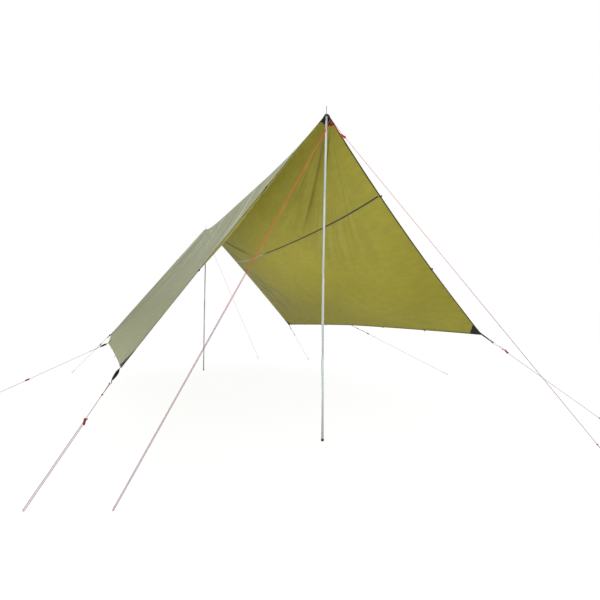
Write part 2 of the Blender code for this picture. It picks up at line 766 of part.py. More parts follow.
def make_guy(name, anchor):
    guy = GUYS[name]
    stake = guy_stake(name)
    room = anchor["bore"] / 2 - CORD_DIAMETER / 2 - GAP
    aside = 0.0
    if "peak" in name:
        crossing = CORD_DIAMETER / 2 + CROSSING_CLEARANCE
        aside = crossing if "right" in name else -crossing
    beside = unit(np.cross(anchor["across"], anchor["pull"]))
    if np.dot(beside, (0.0, anchor["pull"][1], 0.0)) < 0:
        beside = -beside
    eye = anchor["eye"] + anchor["pull"] * math.sqrt(room * room - aside * aside) + beside * aside
    down = unit(stake - eye)
    length = float(np.linalg.norm(stake - eye))
    across = anchor["across"]
    lateral = unit(across - down * np.dot(across, down))
    level = unit(np.cross((0.0, 0.0, 1.0), down))
    first = eye_corner(eye, across, down)
    second = eye_corner(eye, -across, down)
    slide = guy["tensioner"] if "peak" in name else guy["tensioner"] - STRAP_LENGTH
    half_lean = STRAND_SPACING / 2 / math.tan(TENSIONER_TILT)
    corners = []
    if guy["loop"] == "cloth":
        tail = slide + half_lean + STRAND_TAIL
        end = down * tail + lateral * STRAND_SPACING
        corners.append((eye + end, 0))
        straight = first + down * STRAIGHT_SHARES[0] * slide
        straight += lateral * (STRAND_SPACING - np.dot(straight - eye, lateral))
        corners += [(straight, 0), (first, CORD_BEND), (second, CORD_BEND)]
        corners.append((eye + down * STRAIGHT_SHARES[1] * slide, 0))
        corners.append((eye + down * (length - KNOT_DISTANCE), 0))
        peg_room = CORD_BEND + PEG_CLEARANCE
        corners.append((stake + level * peg_room, CORD_BEND))
        corners.append((stake - level * peg_room, CORD_BEND))
        back = KNOT_DISTANCE - 2 * CORD_DIAMETER
        corners.append((stake - down * back - level * CORD_DIAMETER, 0))
        towards = -down
        side = lateral
    else:
        knot = PEAK_KNOT_DISTANCE if "peak" in name else KNOT_DISTANCE
        end = down * (knot - CORD_DIAMETER) + lateral * CORD_DIAMETER
        corners += [(eye + end, 0), (first, CORD_BEND), (second, CORD_BEND)]
        corners.append((eye + down * (knot + CORD_DIAMETER), 0))
        corners.append((stake, CORD_BEND))
        corners.append((stake + level * STRAND_SPACING, CORD_BEND))
        tail = slide - half_lean - STRAND_TAIL
        corners.append((eye + down * tail + level * STRAND_SPACING, 0))
        towards = down
        side = level
    cord("guy_" + name, rounded_route(corners), CORD_DIAMETER, "guy_cord")
    make_tensioner(name, eye + down * slide, towards, side)


def make_tensioner(name, centre, towards, side):
    # A flat runner, leaning between the two strands. Its own X runs along its length, Y along
    # the strands and Z across them. The main strand runs through its origin.
    radius = TENSIONER_WIDTH / 2
    bore_distance = STRAND_SPACING / math.sin(TENSIONER_TILT)
    straight = bore_distance / 2 + TENSIONER_END - radius
    steps = TENSIONER_STEPS
    outline = []
    for sign in (1, -1):
        for k in range(steps + 1):
            angle = -math.pi / 2 + math.pi * k / steps
            outline.append((sign * (straight + radius * math.cos(angle)), sign * radius * math.sin(angle)))
    plate = prism(outline, -TENSIONER_THICKNESS / 2, TENSIONER_THICKNESS / 2)
    plate.name = "tensioner_" + name
    plate.data.materials.clear()
    plate.data.materials.append(material("tensioner_red"))
    lean = Matrix.Rotation(math.pi / 2, 4, "X")
    tilt = Matrix.Rotation(-TENSIONER_TILT, 4, "Z")
    middle = Matrix.Translation((STRAND_SPACING / 2, 0.0, 0.0))
    turned_plate = Matrix.Rotation(math.pi / 2, 4, "Z") @ lean
    plate.data.transform(middle @ tilt @ turned_plate)
    for x in (0.0, STRAND_SPACING):
        bore = cylinder(CORD_DIAMETER / 2 + GAP, (0.0, 0.0), -bore_distance, bore_distance, BORE_SIDES)
        bore.data.transform(Matrix.Translation((x, 0.0, 0.0)) @ Matrix.Rotation(math.pi / 2, 4, "X"))
        apply_boolean(plate, bore, "DIFFERENCE")
    plate.matrix_world = frame_matrix(centre, side, towards, np.cross(side, towards))


# Poles.

def pole_points(end, sign):
    x, y = FOOT_PLACE[end]
    foot = np.array([x, y + ridge_end(end), 0.0])
    top = np.array(hinge_point(sign))
    points = []
    for k in range(POLE_SECTIONS + 1):
        share = k / POLE_SECTIONS
        bow = POLE_BOW[end] * 4 * share * (1 - share)
        points.append(foot + (top - foot) * share + np.array(BOW_DIRECTION) * bow)
    return points


def hinge_point(sign):
    # Half way up the eyelet, where the spike leans in its bore.
    return eyelet_centre(sign) + Vector((0.0, 0.0, (FLANGE_TOP + FLANGE_BOTTOM) / 2))


def make_section(name, low, high, start, finish, following):
    # A tube from one joint to the next. All but the last carry a spigot that points along the
    # next section, inside its mouth.
    axis = unit(high - low)
    outer = POLE_DIAMETER / 2
    inner = outer - POLE_WALL
    plug = inner - GAP
    hole = plug - SPIGOT_WALL
    bottom = low + axis * start
    top = high - axis * finish
    rings = [(bottom, axis, outer), (top, axis, outer)]
    if following is not None:
        tip = high + following * SPIGOT_LENGTH
        rings += [(top, axis, plug), (tip, following, plug), (tip, following, hole)]
        rings += [(top - axis * CHAMFER, axis, hole), (top - axis * NECK_LENGTH, axis, inner)]
    else:
        rings.append((top, axis, inner))
    rings.append((bottom, axis, inner))
    return turned(name, rings, TUBE_SIDES, True, "pole_tube")


def make_foot(name, points):
    # A rubber cup whose underside is cut level, because the pole stands a little askew.
    axis = unit(points[1] - points[0])
    outer = FOOT_DIAMETER / 2
    bore = POLE_DIAMETER / 2 + GAP
    floor = points[0] + axis * FOOT_FLOOR
    mouth = points[0] + axis * FOOT_HEIGHT
    turns = [math.pi / 2 * k / FOOT_STEPS for k in range(FOOT_STEPS + 1)]
    rings = []
    for turn in turns:
        height = FOOT_ROUNDING * (1 - math.cos(turn))
        radius = outer - FOOT_ROUNDING * (1 - math.sin(turn))
        rings.append((points[0] + axis * height, axis, radius))
    rings += [(mouth - axis * CHAMFER, axis, outer), (mouth, axis, bore + FOOT_LIP)]
    rings += [(mouth - axis * CHAMFER, axis, bore), (floor, axis, bore)]
    foot = turned(name, rings, EYELET_SIDES, False, "foot_rubber")
    for vertex in foot.data.vertices[:EYELET_SIDES]:
        slide = vertex.co.z / axis[2]
        vertex.co -= Vector(axis) * slide
    return foot


def make_spike(name, top, axis):
    half_stack = (FLANGE_TOP - FLANGE_BOTTOM) / 2
    shoulder = -half_stack - SHOULDER_GAP
    cone = shoulder - CONE_LENGTH
    collar = cone - COLLAR_LENGTH
    plug = POLE_DIAMETER / 2 - POLE_WALL - GAP
    spike = SPIKE_DIAMETER / 2
    profile = [(share * spike, SPIKE_LENGTH - back) for share, back in SPIKE_TIP]
    profile += [(spike, shoulder), (SHOULDER_DIAMETER / 2, shoulder), (POLE_DIAMETER / 2, cone)]
    profile += [(POLE_DIAMETER / 2, collar), (plug, collar), (plug, collar - PLUG_LENGTH + CHAMFER)]
    profile.append((plug - 0.75 * CHAMFER, collar - PLUG_LENGTH))
    rings = [(top + axis * height, axis, radius) for radius, height in profile]
    turned(name, rings, TUBE_SIDES, False, "pole_spike")
    return -collar


def make_poles():
    for end, sign in (("front", -1), ("rear", 1)):
        points = pole_points(end, sign)
        hinge = bpy.data.objects.new("pole_" + end + "_hinge", None)
        hinge.location = points[-1]
        bpy.context.collection.objects.link(hinge)
        last = unit(points[-1] - points[-2])
        reach = make_spike("pole_" + end + "_spike", points[-1], last)
        for k in range(POLE_SECTIONS):
            final = k == POLE_SECTIONS - 1
            following = None if final else unit(points[k + 2] - points[k + 1])
            start = FOOT_FLOOR + GAP if k == 0 else GAP / 2
            finish = reach + GAP if final else GAP / 2
            name = "pole_" + end + "_section_" + str(k + 1)
            make_section(name, points[k], points[k + 1], start, finish, following)
        make_foot("pole_" + end + "_foot", points)
        first = unit(points[1] - points[0])
        low = points[0] + first * (FOOT_FLOOR + GAP)
        high = points[-1] - last * (reach + PLUG_LENGTH + GAP)
        route = [low] + points[1:-1] + [high]
        cord("pole_" + end + "_shock_cord", route, SHOCK_CORD_DIAMETER, "shock_cord")
        bpy.context.view_layer.update()
        for item in list(bpy.data.objects):
            if item.name.startswith("pole_" + end + "_") and item is not hinge:
                item.parent = hinge
                item.matrix_parent_inverse = hinge.matrix_world.inverted()


def main():
    clear_scene()
    make_panels()
    make_seam_tapes()
    make_hems()
    make_patches()
    make_eyelets()
    anchors = make_straps()
    make_poles()
    for name in GUYS:
        make_guy(name, anchors[name])


main()
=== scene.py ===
import math

import bmesh
import bpy
import numpy as np
from mathutils import Matrix


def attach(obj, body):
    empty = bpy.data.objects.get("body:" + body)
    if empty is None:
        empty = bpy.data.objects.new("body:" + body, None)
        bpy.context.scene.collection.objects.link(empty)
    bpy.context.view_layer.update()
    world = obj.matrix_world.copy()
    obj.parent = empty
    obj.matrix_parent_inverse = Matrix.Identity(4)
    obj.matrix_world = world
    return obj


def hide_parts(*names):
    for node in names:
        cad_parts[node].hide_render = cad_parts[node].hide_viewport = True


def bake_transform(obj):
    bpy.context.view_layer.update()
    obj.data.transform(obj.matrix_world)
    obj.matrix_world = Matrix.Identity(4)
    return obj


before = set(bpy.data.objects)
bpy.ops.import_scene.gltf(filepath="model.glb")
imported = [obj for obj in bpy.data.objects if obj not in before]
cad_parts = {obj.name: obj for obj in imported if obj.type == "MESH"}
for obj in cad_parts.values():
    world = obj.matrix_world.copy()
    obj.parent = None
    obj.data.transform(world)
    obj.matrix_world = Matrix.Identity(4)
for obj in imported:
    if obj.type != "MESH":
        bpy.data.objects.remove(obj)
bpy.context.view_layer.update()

# Which way along its axis each end and side of the tarp lies.
way = {"front": -1.0, "left": -1.0, "mid": 0.0, "rear": 1.0, "right": 1.0}

# Camera, worked out from the tarp's corners, peaks and pole feet. The frame is square.
camera = {
    "place": (-1.274, -4.428, 0.809),
    "yaw": -23.598, "pitch": 1.965, "roll": -0.840,
    "focal": 426.116, "frame": 600, "sensor": 36.0,
}


# Small helpers for vectors, objects and meshes.
def unit(v):
    v = np.asarray(v, float)
    return v / np.linalg.norm(v, axis=-1, keepdims=True)


def paired(*values):
    # Arrays spread over one another and stacked, as the parts of a UV or of a point.
    return np.stack(np.broadcast_arrays(*values), -1)


def turnedTo(right, up, back, place):
    # The matrix that turns X, Y and Z to three directions and moves the origin to a place.
    pose = np.eye(4)
    pose[:3] = np.stack([right, up, back, place], 1)
    return Matrix(pose.tolist())


def addObject(name, data):
    item = bpy.data.objects.new(name, data)
    bpy.context.collection.objects.link(item)
    return item


def surface(points, uv=None, wrapRows=False, wrapCols=False, flip=False):
    # A grid of points as quads: row i, column j joined to the next row and column.
    rows, cols = points.shape[:2]
    i = np.arange(rows if wrapRows else rows - 1)[:, None]
    j = np.arange(cols if wrapCols else cols - 1)[None, :]
    i2, j2 = (i + 1) % rows, (j + 1) % cols
    quads = paired(i * cols + j, i2 * cols + j, i2 * cols + j2, i * cols + j2)
    if uv is None:
        uv = np.zeros((rows + wrapRows, cols + wrapCols, 2))
    loops = np.stack([uv[i, j], uv[i + 1, j], uv[i + 1, j + 1], uv[i, j + 1]], -2)
    if flip:
        quads, loops = quads[..., ::-1], loops[..., ::-1, :]
    return points.reshape(-1, 3), quads.reshape(-1, 4), loops.reshape(-1, 4, 2)


def putMesh(name, parts, materials, slots=None, caps=(), closed=True):
    # parts are surfaces, slots is the material of each, and caps are rings of vertex numbers that
    # close an end. A closed shell is welded, turned outward and smoothed.
    base, points, faces, uvs, faceSlots = 0, [], [], [], []
    for k, (verts, quads, loops) in enumerate(parts):
        points.append(verts)
        faces += (quads + base).tolist()
        uvs.append(loops.reshape(-1, 2))
        faceSlots += [slots[k] if slots else 0] * len(quads)
        base += len(verts)
    for ring in caps:
        faces.append(list(ring))
        uvs.append(np.zeros((len(ring), 2)))
        faceSlots.append(0)
    mesh = bpy.data.meshes.new(name)
    mesh.from_pydata(np.vstack(points).tolist(), [], faces)
    layer = mesh.uv_layers.new(name="cut")
    layer.data.foreach_set("uv", np.vstack(uvs).astype(np.float32).ravel())
    for key in materials:
        mesh.materials.append(finishes[key])
    mesh.polygons.foreach_set("material_index", np.array(faceSlots, np.int32))
    if closed:
        work = bmesh.new()
        work.from_mesh(mesh)
        bmesh.ops.remove_doubles(work, verts=work.verts, dist=1e-6)
        bmesh.ops.recalc_face_normals(work, faces=work.faces)
        work.to_mesh(mesh)
        work.free()
        mesh.shade_smooth()
        mesh.set_sharp_from_angle(angle=math.radians(50))
    return addObject(name, mesh)


def tubeCaps(rings, sides):
    last = (rings - 1) * sides
    return [list(range(sides)), list(range(last + sides - 1, last - 1, -1))]


def stepsOf(path):
    return np.linalg.norm(np.diff(path, axis=0), axis=1)


def putTube(name, path, radius, sides, materials):
    # Point (k, a): path[k] + radius * (side * cos a + across * sin a), where side is carried along
    # the path with as little turning as can be. UV is turns, metres.
    ahead = unit(np.gradient(path, axis=0))
    side = [unit(np.cross(ahead[0], (0.31, 0.52, 0.79)))]
    for k in range(1, len(path)):
        side.append(unit(side[-1] - ahead[k] * np.dot(side[-1], ahead[k])))
    side = np.array(side)
    across = np.cross(ahead, side)
    a = (2 * np.pi * np.arange(sides) / sides)[None, :, None]
    ring = side[:, None] * np.cos(a) + across[:, None] * np.sin(a)
    uv = paired(np.linspace(0, 1, sides + 1)[None, :], np.append(0, np.cumsum(stepsOf(path)))[:, None])
    part = surface(path[:, None] + radius * ring, uv, wrapCols=True)
    return putMesh(name, [part], materials, caps=tubeCaps(len(path), sides))


def drilled(item, radius, place=(0, 0, 0), long=0.06, sides=40, turn=Matrix()):
    # A round hole straight down through a piece at a place, or along another line where turn is given.
    s = np.linspace(0, 2 * np.pi, sides + 1)[:-1]
    x, y, z = place
    wall = paired(x + radius * np.cos(s), y + radius * np.sin(s), z + np.array([[-long], [long]]))
    cutter = putMesh("drill", [surface(wall, wrapCols=True)], [], caps=tubeCaps(2, sides))
    cutter.data.transform(turn)
    cut = item.modifiers.new("hole", "BOOLEAN")
    cut.operation, cut.solver, cut.object = "DIFFERENCE", "EXACT", cutter
    bpy.context.view_layer.update()
    shaped = bpy.data.meshes.new_from_object(item.evaluated_get(bpy.context.evaluated_depsgraph_get()))
    item.modifiers.clear()
    item.data = shaped
    bpy.data.objects.remove(cutter)


def dressed(item, node, body):
    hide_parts(node)
    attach(item, body)


def makeCamera():
    yaw, pitch, roll = [math.radians(camera[k]) for k in ("yaw", "pitch", "roll")]
    ahead = np.array([-math.sin(yaw) * math.cos(pitch), math.cos(yaw) * math.cos(pitch), math.sin(pitch)])
    right = np.array([math.cos(yaw), math.sin(yaw), 0.0])
    up = np.cross(right, ahead)
    data = bpy.data.cameras.new("camera")
    data.sensor_width = camera["sensor"]
    data.lens = camera["focal"] / camera["frame"] * camera["sensor"]
    data.clip_end = 200
    item = addObject("camera", data)
    item.matrix_world = turnedTo(math.cos(roll) * right + math.sin(roll) * up,
                                 -math.sin(roll) * right + math.cos(roll) * up, -ahead, camera["place"])
    bpy.context.scene.camera = item


# Materials. Each is one shader with its pattern on UV in metres or on Object coordinates.
def srgb(colour):
    c = np.array(colour, float) / 255
    return [*np.where(c <= 0.04045, c / 12.92, ((c + 0.055) / 1.055) ** 2.4), 1.0]


def fillInputs(node, inputs):
    # An input is wired to a Value, set to a number, and left alone where None is given.
    for key, value in inputs.items():
        if isinstance(value, Value):
            value.tree.links.new(value.socket, node.inputs[key])
        elif value is not None:
            node.inputs[key].default_value = value


def newNode(tree, kind, inputs, output=0, **settings):
    node = tree.nodes.new("ShaderNode" + kind)
    for key, value in settings.items():
        setattr(node, key, value)
    fillInputs(node, inputs)
    return Value(tree, node.outputs[output])


class Value:
    # What a node gives out. A sign or a call on it makes the nodes that work it out.
    def __init__(self, tree, socket):
        self.tree, self.socket = tree, socket

    def by(self, operation, other=None):
        return newNode(self.tree, "Math", {0: self, 1: other}, operation=operation)

    def __add__(self, other):
        return self.by("ADD", other)

    def __sub__(self, other):
        return self.by("SUBTRACT", other)

    def __mul__(self, other):
        return self.by("MULTIPLY", other)

    def __gt__(self, other):
        return self.by("GREATER_THAN", other)

    def __lt__(self, other):
        return self.by("LESS_THAN", other)

    def __abs__(self):
        return self.by("ABSOLUTE")

    def step(self, low, high):
        # 0 up to low and 1 from high on, whichever of the two is the greater.
        return ((self - low) * (1 / (high - low))).by("MAXIMUM", 0.0).by("MINIMUM", 1.0)

    def wave(self, period):
        # 0 to 1 and back once in each period.
        return (self * (2 * math.pi / period)).by("SINE") * 0.5 + 0.5

    def ramp(self, *stops):
        colour = newNode(self.tree, "ValToRGB", {0: self})
        places = colour.socket.node.color_ramp.elements
        while len(places) < len(stops):
            places.new(0.5)
        for spot, (at, shade) in zip(places, stops):
            spot.position = at
            spot.color = srgb(shade)
        return colour

    def mixed(self, share, other, mode="MIX"):
        # This colour with a share of another.
        other = other if isinstance(other, Value) else srgb(other)
        return newNode(self.tree, "Mix", {0: share, 6: self, 7: other}, 2, data_type="RGBA", blend_type=mode)


class Finish:
    def __init__(self, name, roughness, metallic=0.0, **sockets):
        self.material = bpy.data.materials.new(name)
        self.material.use_nodes = True
        self.tree = self.material.node_tree
        self.shader = self.tree.nodes["Principled BSDF"]
        sockets = {"Roughness": roughness, "Metallic": metallic, **sockets}
        fillInputs(self.shader, {key.replace("_", " "): value for key, value in sockets.items()})
        outputs = self.tree.nodes.new("ShaderNodeTexCoord").outputs
        self.coords = {space: Value(self.tree, outputs[space]) for space in ("UV", "Object")}

    def parts(self, space="UV"):
        split = newNode(self.tree, "SeparateXYZ", {0: self.coords[space]}).socket.node
        return [Value(self.tree, socket) for socket in split.outputs]

    def noiseAt(self, place, scale, detail):
        return newNode(self.tree, "TexNoise", {"Scale": scale, "Detail": detail, "Vector": place}, "Fac")

    def noise(self, scale, detail=3.0, space="Object", stretch=(1, 1, 1)):
        place = newNode(self.tree, "Mapping", {"Scale": stretch, "Vector": self.coords[space]})
        return self.noiseAt(place, scale, detail)

    def rays(self, u, v, apex, scale, along):
        # Noise that runs out from a point in rays: the angle about the point counts in full, the
        # distance from it by the share along. The angle and the distance come back with it.
        x, y = abs(u - apex[0]), abs(v - apex[1])
        angle, r = y.by("ARCTAN2", x), (x * x + y * y).by("SQRT")
        place = newNode(self.tree, "CombineXYZ", {0: angle, 1: r * along})
        return self.noiseAt(place, scale, 2.0), angle, r

    def finish(self, colour, height, depth, strength, rough=None):
        bump = newNode(self.tree, "Bump", {"Strength": strength, "Distance": depth, "Height": height})
        fillInputs(self.shader, {"Base Color": colour, "Roughness": rough, "Normal": bump})
        return self.material


def creaseLine(u, v, start, end, halfWidth):
    # 1 on the line between two points, 0 from half a width off it and at its ends.
    run = np.subtract(end, start)
    length = float(np.linalg.norm(run))
    x, y = u - start[0], v - start[1]
    ahead, across = run / length / length, np.array([run[1], -run[0]]) / length
    along = x * ahead[0] + y * ahead[1]
    off = abs(x * across[0] + y * across[1])
    return off.step(halfWidth, 0.0) * along.step(0.0, 0.15).by("MINIMUM", along.step(1.0, 0.6))


def fanOf(f, u, v, apex, spread, reach, scale):
    # Fine creases that fan out from a point, within a spread of angles and a reach: masks for their
    # grooves, which take painted shade, and for the ridges between them, which take painted highlight.
    ray, angle, r = f.rays(u, v, apex, scale, 0.06)
    inside = angle.step(spread[0], spread[0] + 0.08) * angle.step(spread[1], spread[1] - 0.15)
    area = inside * (r.step(reach[0], reach[0] + 0.15) * r.step(reach[1], reach[1] - 0.4))
    return [ray.step(*limits) * area for limits in ((0.50, 0.62), (0.48, 0.38))]


def dashes(across, along, lines, pitch=0.0042, wide=0.0011):
    # Sewn lines: 1 on a stitch, 0 between, for each distance in lines.
    total = None
    for at in lines:
        near = abs(across - at) < wide / 2
        total = total.by("MAXIMUM", near) if total else near
    return total * (along.wave(pitch) > 0.22)


def wovenCloth(name):
    # A plain weave of half-millimetre threads.
    f = Finish(name, 0.6, Sheen_Weight=0.04, Sheen_Roughness=0.5, Specular_IOR_Level=0.14)
    u, v, _ = f.parts()
    return f, u, v, u.wave(0.0005) * v.wave(0.0005)


def clothFinish(name, darker, lighter, streak, paintedSheen=None, creases=(), fans=()):
    # The weave with soft blotches and crumples, and painted light: painted sheen and shade streaks outside,
    # or painted shade and highlight along creases inside.
    f, u, v, weave = wovenCloth(name)
    blotch = f.noise(1.6)
    colour = blotch.ramp((0.3, darker), (0.7, lighter))
    fine = f.noise(26.0, 4.0, stretch=(1, 0.35, 1)).ramp((0.3, (215, 215, 215)), (0.7, (255, 255, 255)))
    colour = colour.mixed(streak, fine, "MULTIPLY")
    height = f.noise(9.0, 5.0, stretch=(1, 0.5, 1)) + weave * 0.05
    if paintedSheen:
        # Painted highlight streaks where the coating would shine, and painted shade streaks between them:
        # wide and narrow ones down the slope, and some that run out from the peaks and fade towards the middle.
        wide, narrow = f.noise(11.0, 2.0, "UV", (0.10, 1, 1)), f.noise(46.0, 2.0, "UV", (0.05, 1, 1))
        ray, _, r = f.rays(u, abs(v), (0.0, 2.0), 40.0, 0.04)
        ray = (ray - 0.5) * r.step(1.9, 0.9) + 0.5
        band = wide * 0.40 + narrow * 0.35 + ray * 0.25
        colour = colour.mixed(band.step(0.51, 0.575) * 0.75, paintedSheen)
        colour = colour.mixed(band.step(0.49, 0.43) * 0.7, (116, 120, 86))
        height = height * 0.35 + band * 1.3
        # Duller and browner towards the low edges.
        colour = colour.mixed(f.parts("Object")[2].step(1.7, 0.9) * 0.85, (121, 123, 82))
    # Painted shade along each crease inside, by its share, with the bump sunk along it.
    for *crease, depth in creases:
        line = creaseLine(u, v, *crease)
        colour = colour.mixed(line * depth, (96, 92, 40))
        height = height - line * 0.8
    # Painted shade in each fan's grooves and painted highlight on its ridges, with bumps to match.
    for depth, *fan in fans:
        groove, ridge = fanOf(f, u, v, *fan)
        colour = colour.mixed(groove * depth, (92, 88, 44)).mixed(ridge * depth, (166, 162, 106))
        height = height + (ridge - groove) * depth
    return f.finish(colour, height, 0.010, 0.25, blotch * 0.16 + 0.52)


def hemFinish(name, darker, lighter, lines):
    # The cloth again, with the hem's or the seam's own sewn lines in thread a little darker.
    f, u, v, weave = wovenCloth(name)
    pucker, sewing = f.noise(150.0), dashes(u, v, lines)
    colour = f.noise(7.0).ramp((0.32, darker), (0.68, lighter)).mixed(sewing * 0.55, (78, 76, 48))
    return f.finish(colour, pucker + (weave * 0.2 + sewing), 0.0005, 0.5)


def webbingFinish(name, darker, lighter, lines, rib, rim=None):
    # Woven tape: ribs across and a twill line, with sewn lines along it. The binding shows the
    # cloth's own colour where it goes round the rim.
    f = Finish(name, 0.85, Sheen_Weight=0.05, Sheen_Roughness=0.4, Specular_IOR_Level=0.2)
    u, v, _ = f.parts()
    weave = v.wave(rib) * (u + v).wave(rib * 1.35)
    colour = (weave * 0.5 + f.noise(90.0) * 0.5).ramp((0.2, darker), (0.8, lighter))
    if rim:
        colour = colour.mixed(u.step(0.0022, 0.0012), rim)
    sewing = dashes(u, v, lines)
    return f.finish(colour.mixed(sewing, (58, 58, 62)), weave + sewing * 1.5, 0.0004, 0.6)


def patchFinish():
    # Coated black cloth with a square rip-stop grid every 5 mm and two sewn lines round it.
    f = Finish("black_patch", 0.75, Sheen_Weight=0.04, Sheen_Roughness=0.45, Specular_IOR_Level=0.2)
    u, v, _ = f.parts()
    x, y, _ = f.parts("Object")
    grid = (x.wave(0.005) > 0.93).by("MAXIMUM", y.wave(0.005) > 0.93)
    weave, sewing = x.wave(0.0008) * y.wave(0.0008), dashes(u, v, (0.003, 0.008))
    colour = f.noise(40.0, 4.0).ramp((0.3, (15, 15, 17)), (0.72, (32, 32, 35)))
    colour = colour.mixed(grid * 0.35, (48, 48, 52)).mixed(sewing, (62, 62, 64))
    return f.finish(colour, weave * 0.3 + (grid + sewing), 0.0004, 0.5)


def cordFinish(name, dark, mid, light, bright=None):
    # Braid: two sets of strands wind opposite ways and pass over each other.
    f = Finish(name, 0.7, Sheen_Weight=0.05, Sheen_Roughness=0.4, Specular_IOR_Level=0.3)
    u, v, _ = f.parts()
    lay = v * (1 / 0.009)
    braid = (u * 3 + lay).wave(1.0).by("MAXIMUM", (u * 3 - lay).wave(1.0))
    # The colour follows the braid's height: painted shade in the gaps between strands and painted highlight on their
    # crowns.
    colour = braid.ramp((0.35, dark), (0.75, mid), (0.97, light))
    if bright:
        # Brighter above a metre up.
        high = braid.ramp((0.35, bright[0]), (0.75, bright[1]))
        colour = colour.mixed(f.parts("Object")[2].step(0.75, 1.15), high)
    return f.finish(colour, braid, 0.0004, 0.7)


def tapeFinish():
    # Clear film with a dull sheen. Its colour runs from dark at the front to light grey at the rear, made
    # patchy by noise: painted light coming through the film.
    f = Finish("seam_tape", 0.5, Specular_IOR_Level=0.25)
    u, v, _ = f.parts()
    colour = (v * 0.20 + f.noise(3.0)).ramp((0.12, (36, 34, 24)), (0.44, (52, 49, 36)), (0.55, (98, 95, 82)),
                                            (0.63, (142, 140, 126)), (0.74, (172, 172, 162)))
    colour = colour.mixed((abs(u) > 0.0052) * 0.3, (60, 58, 50))
    return f.finish(colour, f.noise(90.0), 0.0005, 0.35, f.noise(20.0) * 0.2 + 0.34)


def metalFinish(name, darker, lighter, roughness, metallic, along, scratch):
    # Drawn metal: fine streaks along the piece, with scuffs that show as rougher spots.
    f = Finish(name, roughness, metallic)
    streak = f.noise(scratch, 4.0, stretch=along)
    rough = f.noise(36.0, 5.0) * 0.22 + (roughness - 0.1)
    return f.finish(streak.ramp((0.3, darker), (0.72, lighter)), streak, 0.0002, 0.2, rough)


def grainFinish(name, scale, detail, darker, lighter, depth, strength):
    # The rubber's dust and the shock cord's weave: one fine noise.
    f = Finish(name, 0.8)
    grain = f.noise(scale, detail)
    return f.finish(grain.ramp(darker, lighter), grain, depth, strength)


finishes = {
    # The inside's olive, yellower than the outside, is partly painted light: the cloth's own green seen with light
    # coming through it. Its creases and fans add painted shade and painted highlight.
    "inside": clothFinish("canopy_inside", (146, 140, 48), (157, 151, 58), 0.4, creases=(
        ((0.05, -1.92), (0.66, -0.80), 0.022, 0.65), ((0.08, -1.94), (0.50, -1.38), 0.010, 0.70),
        ((0.04, -1.90), (0.36, -0.95), 0.014, 0.28), ((0.16, 1.78), (0.64, 0.62), 0.019, 1.0)),
        fans=((0.62, (0.0, 1.98), (0.06, 0.80), (0.16, 1.90), 46.0),
              (0.14, (0.0, -1.98), (0.30, 1.45), (0.10, 1.60), 24.0))),
    # The outside's pale streaks are a painted highlight, the coating's sheen, with painted shade between.
    "outside": clothFinish("canopy_outside", (145, 149, 113), (155, 158, 125), 0.3, paintedSheen=(188, 192, 172)),
    "webbing": webbingFinish("black_webbing", (14, 14, 16), (34, 34, 38), (-0.0048, 0.0048), 0.0012),
    "binding": webbingFinish("edge_binding", (13, 13, 15), (32, 32, 34), (0.0062,), 0.0009, (86, 85, 50)),
    "patch": patchFinish(),
    # The hem has the inside's olive, partly painted light coming through the cloth.
    "hem": hemFinish("hem_cloth", (144, 138, 44), (156, 150, 54), (0.0098, 0.0140)),
    "fell": hemFinish("seam_fell", (146, 150, 116), (156, 159, 128), (-0.0036, 0.0036)),
    "cord": cordFinish("guy_cord", (70, 10, 12), (112, 18, 22), (140, 36, 38), ((150, 48, 30), (214, 92, 58))),
    "paleCord": cordFinish("guy_cord_pale", (118, 116, 114), (168, 166, 164), (206, 204, 202)),
    "tape": tapeFinish(),
    "eyelet": metalFinish("eyelet_metal", (120, 120, 122), (176, 176, 178), 0.32, 0.9, (1, 1, 1), 60),
    "pole": metalFinish("pole_tube", (168, 176, 173), (196, 203, 199), 0.4, 0.55, (60, 60, 0.6), 8),
    "insert": metalFinish("pole_insert", (176, 183, 182), (204, 210, 208), 0.38, 0.5, (60, 60, 2), 10),
    "spike": metalFinish("pole_spike", (104, 106, 109), (150, 152, 155), 0.34, 0.9, (40, 40, 1), 14),
    "tensioner": metalFinish("tensioner_red", (150, 22, 30), (188, 40, 48), 0.4, 0.2, (8, 8, 8), 20),
    "rubber": grainFinish("foot_rubber", 120.0, 4.0, (0.35, (22, 22, 24)), (0.75, (50, 50, 50)), 0.0004, 0.3),
    "elastic": grainFinish("shock_cord", 700.0, 2.0, (0.3, (28, 28, 32)), (0.7, (62, 62, 68)), 0.0003, 0.4),
}
print("finishes made")

